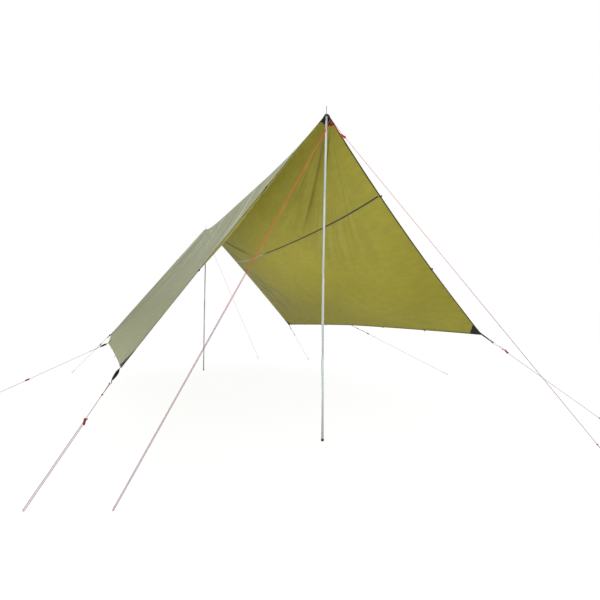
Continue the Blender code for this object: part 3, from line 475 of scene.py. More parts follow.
# The canopy's form. u runs from the left edge, -1, over the ridge, 0, to the right edge, 1, and
# t from the front edge, -1, to the rear edge, 1.
shape = {
    "peak": 2.113, "halfRidge": 2.0,
    "left": [(-1.241, -2.002, 0.546), (-1.324, -0.013, 0.567), (-1.306, 1.977, 0.584)],
    "right": [(1.308, -1.987, 0.635), (1.323, 0.003, 0.675), (1.325, 1.994, 0.649)],
    "ridgeSag": 0.062, "frontStiffness": 4.0, "rearStiffness": 5.6,
    "rounding": {"front": 0.007, "mid": 0.026, "rear": 0.022},
    "sag": {"left": 0.11, "right": 0.172}, "sagShape": 0.744, "sagFade": 1.94,
    "sagDirection": (0.728, 0.686), "endScallop": 0.048, "sideScallop": 0.006,
    "seam": 0.434, "hem": 0.016, "cloth": 0.001, "gap": 0.0003,
    "eyeletInset": 0.012, "flange": 0.016,
    # Each fold and crease: where it starts and ends in u and t, its rise and its half width.
    "folds": [
        ((0.03, -0.93), (0.34, -0.15), 0.010, 0.085), ((0.30, -0.99), (0.46, -0.45), -0.007, 0.090),
        ((0.10, 0.95), (0.42, 0.55), 0.008, 0.080), ((0.38, 0.96), (0.68, 0.60), 0.008, 0.090),
        ((0.66, 0.95), (0.86, 0.70), 0.006, 0.080), ((-0.30, -0.96), (-0.60, -0.50), -0.006, 0.090),
        ((-0.25, 0.95), (-0.60, 0.55), 0.007, 0.090),
    ],
    "creases": [
        ((0.03, -0.96), (0.33, -0.40), 0.0090, 0.030), ((0.04, -0.97), (0.26, -0.68), -0.0050, 0.016),
        ((0.09, 0.88), (0.33, 0.31), -0.0100, 0.024),
        ((0.07, 0.95), (0.47, -0.18), 0.0060, 0.030), ((0.16, 0.96), (0.50, 0.42), -0.0050, 0.022),
        ((0.26, 0.97), (0.60, 0.55), 0.0045, 0.022), ((0.36, 0.98), (0.70, 0.66), -0.0040, 0.020),
        ((0.46, 0.98), (0.78, 0.74), 0.0035, 0.020), ((0.58, 0.98), (0.86, 0.80), -0.0030, 0.018),
        ((-0.10, -0.97), (-0.62, -0.62), 0.0040, 0.028), ((-0.30, -0.95), (-0.86, -0.40), -0.0045, 0.030),
        ((-0.42, -0.98), (-0.93, -0.78), 0.0035, 0.024), ((-0.12, 0.95), (-0.70, 0.40), 0.0045, 0.030),
    ],
    # Ripples that fan out of a peak or a corner: its u and t, the number of waves and their height.
    "ripples": [(0, -1, 11, 0.0022), (0, 1, 11, 0.0024), (1, -1, 13, 0.0020),
                (1, 1, 13, 0.0022), (-1, -1, 13, 0.0026), (-1, 1, 13, 0.0022)],
}
halfRidge = shape["halfRidge"]
halfSpan = shape["right"][1][0]
edgeRun = math.hypot(halfSpan, shape["peak"] - shape["right"][1][2])
seamU = shape["seam"] / halfSpan


def eased(a, t, power):
    ends = np.where(t < 0, shape["rounding"]["front"], shape["rounding"]["rear"])
    r = shape["rounding"]["mid"] + (ends - shape["rounding"]["mid"]) * np.abs(t)
    return ((a * a + r * r) ** (power / 2) - r ** power) / ((1 + r * r) ** (power / 2) - r ** power)


def creaseHeight(u, t, creases):
    # Sum of bumps: rise * sin(pi * share along) * exp(-(distance off / half width) squared).
    height = np.zeros(np.broadcast(u, t).shape)
    for start, end, rise, halfWidth in creases:
        run = np.array([(end[0] - start[0]) * edgeRun, (end[1] - start[1]) * halfRidge])
        length = np.linalg.norm(run)
        run = run / length
        x, y = (u - start[0]) * edgeRun, (t - start[1]) * halfRidge
        share = np.clip((x * run[0] + y * run[1]) / length, 0, 1)
        off = x * run[1] - y * run[0]
        height = height + rise * np.sin(np.pi * share) * np.exp(-(off / halfWidth) ** 2)
    return height


def fineHeight(u, t):
    # Creases, and ripples that die away with distance. They are held to nothing where the straps,
    # eyelets and patches sit.
    height = creaseHeight(u, t, shape["creases"])
    x, y = u * edgeRun, t * halfRidge
    hold = np.ones(np.broadcast(u, t).shape)
    for cu, ct, count, rise in shape["ripples"]:
        dx, dy = x - cu * edgeRun, y - ct * halfRidge
        r = np.hypot(dx, dy)
        height = height + rise * np.sin(count * np.arctan2(dy, dx) + 1.3 * cu + 2.1 * ct) \
            * np.exp(-r / 0.42) * np.clip((r - 0.12) / 0.15, 0, 1)
        hold = hold * np.clip((r - 0.11) / 0.10, 0, 1)
    for cu in (-1, 1):
        hold = hold * np.clip((np.hypot(x - cu * edgeRun, y) - 0.06) / 0.10, 0, 1)
    return height * hold * hold * (3 - 2 * hold)


def halfCanopy(side, a, t):
    # Half the canopy at a share a of the way from ridge to edge: straight, then eased and sagged.
    power = np.where(t < 0, shape["frontStiffness"], shape["rearStiffness"])
    top = shape["peak"] - shape["ridgeSag"] * (1 - np.abs(t) ** power)
    ridge = np.stack([np.zeros_like(t), halfRidge * t, top], -1)
    front, middle, rear = [np.array(p) for p in shape[side]]
    edge = middle + (np.where(t[..., None] < 0, front, rear) - middle) * np.abs(t)[..., None]
    inward = unit(ridge - edge)
    edge = edge + inward * (shape["sideScallop"] * 4 * np.abs(t) * (1 - np.abs(t)))[..., None]
    point = ridge + (edge - ridge) * a[..., None]
    point[..., 2] = ridge[..., 2] + (edge[..., 2] - ridge[..., 2]) * eased(a, t, 1.0)
    point[..., 1] *= 1 - shape["endScallop"] * 2 * a * (1 - a)
    sag = shape["sag"][side] * np.sin(np.pi * eased(a, t, shape["sagShape"])) * (1 - np.abs(t) ** shape["sagFade"])
    point[..., 0] -= way[side] * shape["sagDirection"][0] * sag
    point[..., 2] -= shape["sagDirection"][1] * sag
    return point


def spread(u, t):
    return np.broadcast_arrays(np.asarray(u, float), np.asarray(t, float))


def canopyBase(u, t):
    # Both halves, lifted level round the eyelets.
    u, t = spread(u, t)
    point = np.where((u < 0)[..., None], halfCanopy("left", np.abs(u), t), halfCanopy("right", np.abs(u), t))
    level = shape["flange"] / 2 + 5 * shape["gap"]
    for sign in (-1, 1):
        behind = np.maximum(halfRidge - shape["eyeletInset"] - sign * point[..., 1], 0)
        away = np.maximum(np.abs(point[..., 0]), behind)
        share = np.clip((away - level) / level, 0, 1)
        point[..., 2] += (shape["peak"] - point[..., 2]) * (1 - share * share * (3 - 2 * share))
    return point


def canopyNormal(u, t):
    step = 0.002
    u, t = spread(u, t)
    across = canopyBase(np.minimum(u + step, 1), t) - canopyBase(np.maximum(u - step, -1), t)
    along = canopyBase(u, np.minimum(t + step, 1)) - canopyBase(u, np.maximum(t - step, -1))
    return unit(np.cross(across, along))


def canopy(u, t, offset=0.0):
    u, t = spread(u, t)
    lift = creaseHeight(u, t, shape["folds"]) + fineHeight(u, t) + offset
    return canopyBase(u, t) + canopyNormal(u, t) * np.asarray(lift)[..., None]


def closedSheet(u, t, top, bottom, uv=None):
    # The upper face, the lower face, and the rim between them. UV is metres across and along.
    u, t = np.asarray(u), np.asarray(t)
    if u.ndim == 1:
        u, t = u[:, None], t[None, :]
    if uv is None:
        uv = paired(u * edgeRun, t * halfRidge)
    upper, lower = canopy(u, t, top), canopy(u, t, bottom)
    m, n = upper.shape[:2]
    i = np.concatenate([np.arange(m), np.full(n - 1, m - 1), np.arange(m - 2, -1, -1), np.zeros(n - 2, int)])
    j = np.concatenate([np.zeros(m, int), np.arange(1, n), np.full(m - 1, n - 1), np.arange(n - 2, 0, -1)])
    rim = np.stack([upper[i, j], lower[i, j]], 0)
    edge = uv[np.append(i, i[0]), np.append(j, j[0])]
    return [surface(upper, uv), surface(lower, uv, flip=True),
            surface(rim, np.stack([edge, edge], 0), wrapCols=True)]


# One grid for the cloth and all that is sewn to it, so that layers a fraction of a millimetre apart
# never cross. It has lines at the hems, the bindings, the eyelets and both sides of the tapes.
trim = {
    "hemTop": -0.0008, "hemBottom": -0.0020, "layerGap": 0.00003, "hole": 0.0048,
    "bindWidth": 0.008, "bindThick": 0.00025, "bindRoom": 0.0005, "bindLip": 0.0008, "edgeRoom": 0.0012,
    "tapeWidth": 0.012, "tapeThick": 0.0005, "fellThick": 0.0003,
    "cornerPatch": (0.111, 0.120), "peakPatch": (0.055, 0.090),
    "loopsPerEdge": 4, "loopWidth": 0.010, "loopThick": 0.0006, "loopBore": 0.008, "loopStandoff": 0.003,
    "loopRoot": 0.010,
    # A folded tape closes up this many radii before its eye.
    "neck": 2.3,
}
# A patch has a thick layer under the cloth and a thin one over it. Each has the lift of its two
# faces off the cloth's middle, and how far in from the edge it starts.
patchLayers = (("under", -0.0023, -0.0023 - 0.0008, 0.0), ("over", 0.00055, 0.00077, trim["edgeRoom"]))
hemLines = np.array([0, 0.004, trim["bindWidth"], 0.012, shape["hem"], 0.0215])
tapeLines = np.array([-1, -0.5, 0, 0.5, 1]) * trim["tapeWidth"] / 2 / edgeRun
clothTop = shape["cloth"] / 2


def clothRows():
    fine = np.linspace(0, 0.05, 16)[1:]
    rows = np.concatenate([np.linspace(-1, 1, 301), -1 + fine, 1 - fine])
    rows = rows[(1 - np.abs(rows)) * halfRidge > 0.024]
    lines = hemLines / halfRidge
    return np.unique(np.concatenate([rows, lines - 1, 1 - lines]))


def clothColumns(name):
    gap = shape["gap"] / 2 / edgeRun
    if name == "centre":
        near = np.array([0, 0.0048, 0.0095, 0.0125, 0.0158, 0.019, 0.024, 0.031, 0.040]) / halfSpan
        far = np.linspace(0.052 / halfSpan, seamU + tapeLines[0] - 0.004, 56)
        half = np.concatenate([near, far, seamU + tapeLines[:2], [seamU - gap]])
        return np.unique(np.concatenate([-half, half]))
    side = np.linspace(seamU + tapeLines[-1] + 0.006, 1 - 0.028 / edgeRun, 118)
    side = np.concatenate([[seamU + gap], seamU + tapeLines[3:], side, 1 - hemLines / edgeRun])
    return np.unique(side if name == "right" else -side)


def makeCanopy():
    rows = clothRows()
    for name in ("centre", "right", "left"):
        columns = clothColumns(name)
        parts = closedSheet(columns, rows, clothTop, -clothTop)
        panel = putMesh("cloth_" + name, parts, ["outside", "inside"], [0, 1, 1])
        dressed(panel, "canopy_" + name + "_panel", "canopy")


makeCamera()
makeCanopy()
print("canopy made")


def onEdge(edge, share, inset):
    # u and t at a share along an edge and so many metres in from it.
    if edge in ("front", "rear"):
        return share, way[edge] * (1 - inset / halfRidge)
    return way[edge] * (1 - inset / edgeRun), share


def edgeBand(edge, share, s, lift):
    # The point at a share along an edge, s metres in from it and lift off the cloth's middle. Where s
    # is below nothing, the point lies straight out from the edge by that much.
    share, s, lift = np.broadcast_arrays(share, s, lift)
    point = canopy(*onEdge(edge, share, np.maximum(s, 0)), lift)
    out = unit(canopy(*onEdge(edge, share, np.zeros_like(s))) - canopy(*onEdge(edge, share, np.full_like(s, 0.004))))
    return point + out * np.maximum(-s, 0)[..., None]


def edgeLength(edge):
    return halfRidge if edge in ("left", "right") else edgeRun


def edgeShares(edge, clear):
    # The grid's lines across an edge. At the ends of the sides they stop clear of the other edges.
    if edge in ("left", "right"):
        shares, last = clothRows(), 1 - clear / halfRidge
    else:
        shares, last = np.unique(np.concatenate([clothColumns(name) for name in ("left", "centre", "right")])), 1.0
    return np.unique(np.concatenate([[-last], shares[np.abs(shares) < last], [last]]))


def makeBinding(edge):
    # A narrow tape folded round the rim of cloth and hem: wide below, and only a lip above.
    wide, thick, room, lip = trim["bindWidth"], trim["bindThick"], trim["bindRoom"], trim["bindLip"]
    over, under = clothTop + trim["layerGap"], trim["hemBottom"] - trim["layerGap"]
    middle, half = (over + under) / 2, (over - under) / 2
    swing = np.linspace(0, np.pi, 9)[1:-1]
    profile = [(lip, over + thick), (0, over + thick)]
    profile += [(-(room + thick) * np.sin(a), middle + (half + thick) * np.cos(a)) for a in swing]
    profile += [(0, under - thick), (wide / 2, under - thick), (wide, under - thick)]
    profile += [(wide, under), (wide / 2, under), (0, under)]
    profile += [(-room * np.sin(a), middle - half * np.cos(a)) for a in swing]
    profile = np.array(profile + [(0, over), (lip, over)])
    shares = edgeShares(edge, wide + 0.0004)
    points = edgeBand(edge, shares[:, None], profile[None, :, 0], profile[None, :, 1])
    across = np.concatenate([profile[:, 0], profile[:1, 0]])
    uv = paired(across[None, :], shares[:, None] * edgeLength(edge))
    item = putMesh("binding_" + edge, [surface(points, uv, wrapCols=True)], ["binding"],
                   caps=tubeCaps(len(shares), len(profile)))
    dressed(item, "hem_" + edge, "canopy")
    return item


def makeHem(edge):
    # The cloth's turned-in edge, stitched along both its sides.
    shares = edgeShares(edge, shape["hem"] + shape["gap"])
    insets = hemLines[hemLines <= shape["hem"]]
    uv = paired(insets[:, None], shares[None, :] * edgeLength(edge))
    u, t = np.broadcast_arrays(*onEdge(edge, shares[None, :], insets[:, None]))
    item = putMesh("hem_cloth_" + edge, closedSheet(u, t, trim["hemTop"], trim["hemBottom"], uv), ["hem"])
    dressed(item, "hem_" + edge, "canopy")
    return item


def flatRibbon(path, wide, width, thick):
    # A flat tape with round edges, carried along a path in a plane square to wide. Across it the
    # profile is a flat top, a half circle, a flat underside and a half circle.
    up = unit(np.cross(unit(np.gradient(path, axis=0)), wide))
    flat, turn = np.linspace(-1, 1, 7), np.linspace(0, np.pi, 5)[1:-1]
    x = np.concatenate([flat, np.ones(3), -flat, -np.ones(3)])
    cx = np.concatenate([flat * 0, np.sin(turn), flat * 0, -np.sin(turn)])
    cy = np.concatenate([flat * 0 + 1, np.cos(turn), flat * 0 - 1, -np.cos(turn)])
    half = (np.broadcast_to(width, len(path)) / 2)[:, None]
    side = x * (half - thick / 2) + cx * thick / 2
    lift = up[:, None] * (cy * thick / 2)[None, :, None]
    points = path[:, None] + np.asarray(wide)[None, None] * side[..., None] + lift
    side = np.concatenate([side, side[:, :1]], 1)
    uv = paired(side, np.append(0, np.cumsum(stepsOf(path)))[:, None])
    return surface(points, uv, wrapCols=True), tubeCaps(len(path), len(x))


def foldedPath(start, bend, eye, radius, apart, steps=2):
    # A tape that runs out to an eye, goes round it and comes back under itself. Its corners are cut
    # twice, at a quarter and three quarters of each run.
    start, bend, eye = [np.array(p, float) for p in (start, bend, eye)]
    ahead, first = unit(eye - bend), unit(bend - start)
    side, firstSide = np.array([-ahead[1], ahead[0]]), np.array([-first[1], first[0]])
    elbowSide = unit(firstSide + side)
    angle = np.radians(np.linspace(146, -146, 19))[:, None]
    ring = eye + radius * (np.cos(angle) * ahead + np.sin(angle) * side)
    neck = eye - ahead * radius * trim["neck"]
    over = [start + firstSide * apart, bend + elbowSide * apart]
    under = [bend - elbowSide * apart, start - firstSide * apart]
    run = bend + (neck - bend) * np.linspace(0, 1, steps)[1:, None]
    points = np.vstack([over, run + side * apart, ring, run[::-1] - side * apart, under])
    for _ in range(2):
        cut = np.stack([points[:-1] * 0.75 + points[1:] * 0.25, points[:-1] * 0.25 + points[1:] * 0.75], 1)
        points = np.concatenate([points[:1], cut.reshape(-1, 2), points[-1:]])
    return points


def inFrame(path, origin, away, up):
    return np.asarray(origin) + path[:, :1] * np.asarray(away) + path[:, 1:] * np.asarray(up)


def makeLoops(edge):
    # Four folded tapes, each sewn under the hem with its eye just past the edge.
    steps, thick = trim["loopsPerEdge"] + 2, trim["loopThick"]
    middle = (trim["hemTop"] + trim["hemBottom"]) / 2
    root = trim["hemBottom"] - trim["bindThick"] - thick * 1.1
    reach = trim["loopStandoff"] + trim["loopBore"] / 2
    loops, caps, base = [], [], 0
    for share in [2 * k / steps - 1 for k in range(1, steps) if 2 * k != steps]:
        corner = edgeBand(edge, share, 0.0, 0.0)
        along = unit(edgeBand(edge, share + 0.004, 0.0, 0.0) - edgeBand(edge, share - 0.004, 0.0, 0.0))
        away = unit(corner - edgeBand(edge, share, 0.004, 0.0))
        away = unit(away - along * np.dot(away, along))
        path = foldedPath((-trim["loopRoot"], root), (-0.0004, root), (reach, middle),
                          trim["loopBore"] / 2 + thick / 2, thick * 0.52)
        path = inFrame(path, corner, away, canopyNormal(*onEdge(edge, share, 0.0)))
        part, ends = flatRibbon(path, along, trim["loopWidth"], thick)
        loops.append(part)
        caps += [[k + base for k in ring] for ring in ends]
        base += len(part[0])
    dressed(putMesh("loops_" + edge, loops, ["webbing"], caps=caps), "hem_" + edge, "canopy")


def makeSeam(side):
    # Tape under the seam. Over it lies the seam's folded edge, stitched twice.
    columns = np.sort(way[side] * (seamU + tapeLines))
    low = clothTop + trim["layerGap"]
    for kind, clear, top, bottom, node, slot in (
            ("tape", shape["hem"] + shape["gap"], trim["hemTop"], trim["hemTop"] - trim["tapeThick"],
             "seam_tape_" + side, "tape"),
            ("fell", trim["edgeRoom"], low + trim["fellThick"], low, "canopy_" + side + "_panel", "cloth")):
        rows = clothRows()
        rows = rows[np.abs(rows) < 1 - clear / halfRidge]
        uv = paired((columns[:, None] - way[side] * seamU) * edgeRun, rows[None, :] * halfRidge)
        item = putMesh(kind + "_" + side, closedSheet(columns, rows, top, bottom, uv), [kind])
        dressed(item, node, "canopy")


def makeCornerPatch(end, side):
    # A triangle with a straight inner edge, in each of the two layers.
    wide, long = trim["cornerPatch"]
    for layer, top, bottom, inset in patchLayers:
        share, reach = np.linspace(0, 0.97, 25)[None, :], np.linspace(0, 1, 21)[:, None]
        x = inset + (wide - inset) * reach * (1 - share)
        y = inset + (long - inset) * share + 0 * reach
        u, t = way[side] * (1 - x / edgeRun), way[end] * (1 - y / halfRidge)
        hem = np.minimum(wide * (1 - y / long) - x, np.minimum(x, y) - inset)
        parts = closedSheet(u, t, top, bottom, np.stack([hem, x - y], -1))
        item = putMesh("patch_%s_%s_%s" % (layer, end, side), parts, ["patch"])
        dressed(item, "corner_patch_" + end + "_" + side, "canopy")


def eyeletPlace(end):
    return np.array([0.0, way[end] * (halfRidge - shape["eyeletInset"]), shape["peak"]])


def makePeakPatch(end):
    # Half an ellipse in each of the two layers, with the eyelet's hole.
    wide, long = trim["peakPatch"]
    for layer, top, bottom, inset in patchLayers:
        columns = clothColumns("centre") * halfSpan
        last = wide * 0.985
        x = np.unique(np.concatenate([columns[np.abs(columns) < last], last * np.array([-1, 1])]))[:, None]
        rim = long * np.sqrt(1 - (x / wide) ** 2)
        y = inset + (rim - inset).clip(0.002) * np.linspace(0, 1, 25)[None, :]
        u, t = x / halfSpan + 0 * y, way[end] * (1 - y / halfRidge)
        uv = np.stack([np.minimum(rim - y, y - inset), x + 0 * y], -1)
        item = putMesh("peak_patch_%s_%s" % (layer, end), closedSheet(u, t, top, bottom, uv), ["patch"])
        drilled(item, trim["hole"], eyeletPlace(end))
        dressed(item, "peak_patch_" + end, "canopy")


for edgeName in ("front", "rear", "left", "right"):
    binding, hem = makeBinding(edgeName), makeHem(edgeName)
    makeLoops(edgeName)
    if edgeName in ("front", "rear"):
        for sheet in (binding, hem):
            drilled(sheet, trim["hole"], eyeletPlace(edgeName))
for sideName in ("left", "right"):
    makeSeam(sideName)
    for endName in ("front", "rear"):
        makeCornerPatch(endName, sideName)
for endName in ("front", "rear"):
    makePeakPatch(endName)
    drilled(bpy.data.objects["cloth_centre"], trim["hole"], eyeletPlace(endName))
print("hems, seams, loops and patches made")

# Straps and guy lines. A place on the ground counts along Y from the end or the middle of the ridge
# that its name gives. Each line has its place, how far down it the tensioner is, and whether its
# second strand starts at the cloth or comes back from the ground.
strap = {
    "width": 0.020, "eyeWidth": 0.011, "thickness": 0.0015, "length": 0.095, "root": 0.038, "tab": 0.010,
    "bend": 0.004, "bore": 0.009, "peakBore": 0.010, "peakReach": 0.046, "peakDrop": 0.061,
    "layer": 0.0007, "apart": 0.00039,
}
strapMiddle = shape["cloth"] / 2 + shape["gap"] + strap["thickness"] / 2
guyLine = {
    "diameter": 0.0025, "bend": 2.05 * 0.0025, "knotAt": 0.065, "peakKnotAt": 0.090, "pegRoom": 0.0008,
    "spacing": 2 * 2.05 * 0.0025 + 0.0006, "tail": 0.005, "tilt": math.radians(30), "crossing": 0.0007,
    "groundGap": 0.0002, "bendStep": math.radians(14),
    "stakes": {
        "front_peak_left": (-1.280, -0.446, 0.123, "ground"), "front_peak_right": (1.250, -0.893, 0.136, "cloth"),
        "front_left": (-1.627, -0.287, 0.308, "ground"), "front_right": (1.930, -0.505, 0.206, "cloth"),
        "mid_left": (-2.540, 0.200, 0.739, "ground"), "mid_right": (2.699, -0.094, 0.242, "cloth"),
        "rear_left": (-1.843, 0.693, 0.281, "cloth"), "rear_right": (1.891, 0.457, 0.254, "cloth"),
        "rear_peak_left": (-1.200, 1.170, 0.130, "cloth"), "rear_peak_right": (1.187, 1.169, 0.130, "cloth"),
    },
}


def stakePoint(name):
    x, y = guyLine["stakes"][name][:2]
    return np.array([x, y + way[name.split("_")[0]] * halfRidge, guyLine["diameter"] / 2 + guyLine["groundGap"]])


def strapFrame(name):
    # Where a strap starts, the way it leads away from there, up, the bore of its eye, where it bends
    # and where its eye is, the last two in metres away and up.
    if "peak" in name:
        end, inset = name.split("_")[0], shape["eyeletInset"]
        away, up = np.array([0.0, way[end], 0.0]), np.array([0.0, 0.0, 1.0])
        eye = (inset + strap["peakReach"], -strap["peakDrop"])
        return eyeletPlace(end), away, up, strap["peakBore"], inset + strap["bend"], eye
    place, side = name.split("_")
    origin, up = canopy(way[side], way[place]), canopyNormal(way[side], way[place])
    pull = unit(stakePoint(name) - origin)
    away = unit(pull - up * np.dot(pull, up))
    eye = (strap["length"] * np.dot(pull, away), strap["length"] * np.dot(pull, up))
    return origin, away, up, strap["bore"], strap["bend"], eye


def strapEye(name):
    # Where a strap's eye is, which way the cord runs through it, and which way the strap pulls.
    origin, away, up, bore, bend, eye = strapFrame(name)
    if "peak" in name:
        pull = unit([0.0, away[1] * (eye[0] - bend), eye[1] - strapMiddle])
        return origin + away * eye[0] + np.array([0, 0, eye[1]]), np.cross(away, (0, 0, 1)), pull, bore
    pull = unit(stakePoint(name) - origin)
    return origin + pull * strap["length"], np.cross(away, up), pull, bore


def turnBetween(a, b):
    return math.acos(max(-1.0, min(1.0, float(np.dot(a, b)))))


def roundedRoute(corners):
    # Straight runs between corners, each corner replaced by an arc of its own radius.
    route = [corners[0][0]]
    for (before, _), (corner, radius), (after, _) in zip(corners, corners[1:], corners[2:]):
        if radius == 0:
            route.append(corner)
            continue
        arrive, leave = unit(corner - before), unit(after - corner)
        turn = turnBetween(arrive, leave)
        inward = unit(leave - arrive)
        centre = corner + inward * radius / math.cos(turn / 2)
        tangent = -unit(inward - arrive * np.dot(inward, arrive))
        swing = np.linspace(0, turn, max(2, round(turn / guyLine["bendStep"])) + 1)[:, None]
        route += list(centre + radius * (tangent * np.cos(swing) + arrive * np.sin(swing)))
    route.append(corners[-1][0])
    return np.array(route)


def filled(route, least):
    # The same route with points put into its longest runs until there are enough.
    route = list(route)
    while len(route) < least:
        runs = [np.linalg.norm(b - a) for a, b in zip(route, route[1:])]
        k = int(np.argmax(runs))
        route.insert(k + 1, (route[k] + route[k + 1]) / 2)
    return np.array(route)


def guyRoutes(name):
    g = guyLine
    slideTo, loop = g["stakes"][name][2:]
    stake, d, bend, spacing = stakePoint(name), g["diameter"], g["bend"], g["spacing"]
    middle, across, pull, bore = strapEye(name)
    room, aside, slide, knot = bore / 2 - d / 2 - shape["gap"], 0.0, slideTo - strap["length"], g["knotAt"]
    if "peak" in name:
        aside, slide, knot = (d / 2 + g["crossing"]) * (1 if "right" in name else -1), slideTo, g["peakKnotAt"]
    beside = unit(np.cross(across, pull))
    if beside[1] * pull[1] < 0:
        beside = -beside
    eye = middle + pull * math.sqrt(room * room - aside * aside) + beside * aside
    down, length = unit(stake - eye), float(np.linalg.norm(stake - eye))
    lateral, level = unit(across - down * np.dot(across, down)), unit(np.cross((0, 0, 1), down))

    def eyeCorner(heading):
        turn = turnBetween(heading, down)
        return eye + heading * (strap["eyeWidth"] / 2 + shape["gap"] + bend * math.tan(turn / 2))

    first, second = eyeCorner(across), eyeCorner(-across)
    halfLean = spacing / 2 / math.tan(g["tilt"])
    if loop == "cloth":
        straight = first + down * 0.4 * slide
        straight = straight + lateral * (spacing - np.dot(straight - eye, lateral))
        back = roundedRoute([(eye, 0), (first, bend), (straight, 0),
                             (eye + down * (slide + halfLean + g["tail"]) + lateral * spacing, 0)])
        room = bend + g["pegRoom"]
        line = roundedRoute([
            (eye, 0), (second, bend), (eye + down * 0.7 * slide, 0), (eye + down * (length - g["knotAt"]), 0),
            (stake + level * room, bend), (stake - level * room, bend),
            (stake - down * (g["knotAt"] - 2 * d) - level * d, 0)])
        knots, towards, side = [stake - down * g["knotAt"]], -down, lateral
    else:
        full = roundedRoute([
            (eye + down * (knot - d) + lateral * d, 0), (first, bend), (second, bend),
            (eye + down * (knot + d), 0), (stake, bend), (stake + level * spacing, bend),
            (eye + down * (slide - halfLean - g["tail"]) + level * spacing, 0)])
        line, back = full[:-1], full[-2:]
        knots, towards, side = [eye + down * knot], down, level
    return {"line": line, "back": back, "eye": eye, "centre": eye + down * slide, "down": down,
            "towards": towards, "side": side, "knots": knots, "end": back[-1], "loop": loop}


def makeKnot(name, place, axis, radius):
    # A tight coil of three turns round the strands, with both ends tucked in.
    d = guyLine["diameter"]
    side = unit(np.cross(axis, (0.2, 0.3, 0.9)))
    other = np.cross(axis, side)
    s = np.linspace(0, 1, 61)[:, None]
    swell = radius * (0.55 + 0.45 * np.sin(np.pi * s))
    turns = 2 * np.pi * 3 * s
    path = place + axis * (s - 0.5) * d * 3.0 + swell * (side * np.cos(turns) + other * np.sin(turns))
    return putTube(name, path, d / 2, 8, ["cord"])


runner = {"width": 0.014, "thick": 0.003, "past": 0.0091, "edge": 0.0007}


def makeTensioner(name, route):
    # A flat runner with rounded edges and three holes, which leans across its two strands.
    spacing, tilt = guyLine["spacing"], guyLine["tilt"]
    width, thick, e = runner["width"], runner["thick"], runner["edge"]
    straight = spacing / math.sin(tilt) / 2 + runner["past"] - width / 2
    a = np.linspace(0, 2 * np.pi, 49)[:-1]
    ends = np.sign(np.cos(a)) * straight
    outline = np.stack([ends + width / 2 * np.cos(a), width / 2 * np.sin(a)], -1)
    # Across the edge the outline shrinks and the height falls along a quarter circle.
    q = np.linspace(0, np.pi / 2, 5)
    inset = np.concatenate([e * (1 - np.sin(q)), e * (1 - np.cos(q))])
    height = np.concatenate([thick / 2 - e * (1 - np.cos(q)), -thick / 2 + e * (1 - np.sin(q))])
    ways = unit(outline - np.stack([ends, np.zeros_like(a)], -1))
    rings = outline[None] - ways[None] * inset[:, None, None]
    points = np.concatenate([rings, np.broadcast_to(height[:, None, None], rings.shape[:2] + (1,))], -1)
    plate = putMesh("runner_" + name, [surface(points, wrapCols=True)], ["tensioner"],
                    caps=tubeCaps(len(inset), len(a)))
    along = Matrix.Rotation(math.pi / 2, 4, "X")
    turn = Matrix.Translation((spacing / 2, 0, 0)) @ Matrix.Rotation(-tilt, 4, "Z") \
        @ Matrix.Rotation(math.pi / 2, 4, "Z") @ along
    plate.data.transform(turn)
    # Two holes run along the strands; the third, spare one goes straight through the middle.
    for place in (along, Matrix.Translation((spacing, 0, 0)) @ along, turn):
        drilled(plate, guyLine["diameter"] / 2 + shape["gap"], long=0.03, sides=24, turn=place)
    side, towards = route["side"], route["towards"]
    plate.data.transform(turnedTo(side, towards, np.cross(side, towards), route["centre"]))
    dressed(plate, "tensioner_" + name, "tensioner_" + name)


def makeGuys():
    d = guyLine["diameter"]
    for name in guyLine["stakes"]:
        route = guyRoutes(name)
        line, back = filled(route["line"], 24), filled(route["back"], 16)
        pieces = {}
        for part, path in (("line", line), ("return", back)):
            item = putTube("cord_" + part + "_" + name, path, d / 2, 10, ["cord", "paleCord"])
            if name == "front_right":
                # The photo shows this line pale for the first half of the way from strap to runner.
                for face in item.data.polygons:
                    gone = np.linalg.norm(np.array(face.center) - route["eye"])
                    face.material_index = int(gone < 0.5 * np.linalg.norm(route["centre"] - route["eye"]))
            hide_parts("guy_" + name)
            pieces[part] = item
        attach(pieces["line"], "canopy")
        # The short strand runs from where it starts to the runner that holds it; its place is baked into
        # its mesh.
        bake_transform(pieces["return"])
        if name == "front_right":
            route["knots"].append(route["eye"] * 0.25 + route["centre"] * 0.75)
        knots = [makeKnot("knot_%s_%d" % (name, k), place, route["down"], d * 1.3)
                 for k, place in enumerate(route["knots"])]
        stopper = makeKnot("stopper_" + name, route["end"], route["down"], d * 0.95)
        for knot in knots + [stopper]:
            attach(knot, "tensioner_" + name if knot is stopper else "canopy")
        "knot" if route["loop"] == "cloth" else "object"
        makeTensioner(name, route)


makeGuys()
print("guy lines made")


def halfTurned(points, near, far, last):
    # Turns points half round about the line from near to far, by pi/2 * (1 + x |x|^0.4) with x = 2 s - 1,
    # where s goes from 0 at near to 1 at the last share of it.
    line = far - near
    axis = unit(line)
    s = np.clip((points - near) @ line / np.dot(line, line) / last, 0, 1)
    x = 2 * s - 1
    angle = (np.pi / 2 * (1 + x * np.abs(x) ** 0.4))[:, None]
    off = points - near
    along = (off @ axis)[:, None] * axis
    off = off - along
    return near + along + off * np.cos(angle) + np.cross(axis, off) * np.sin(angle)


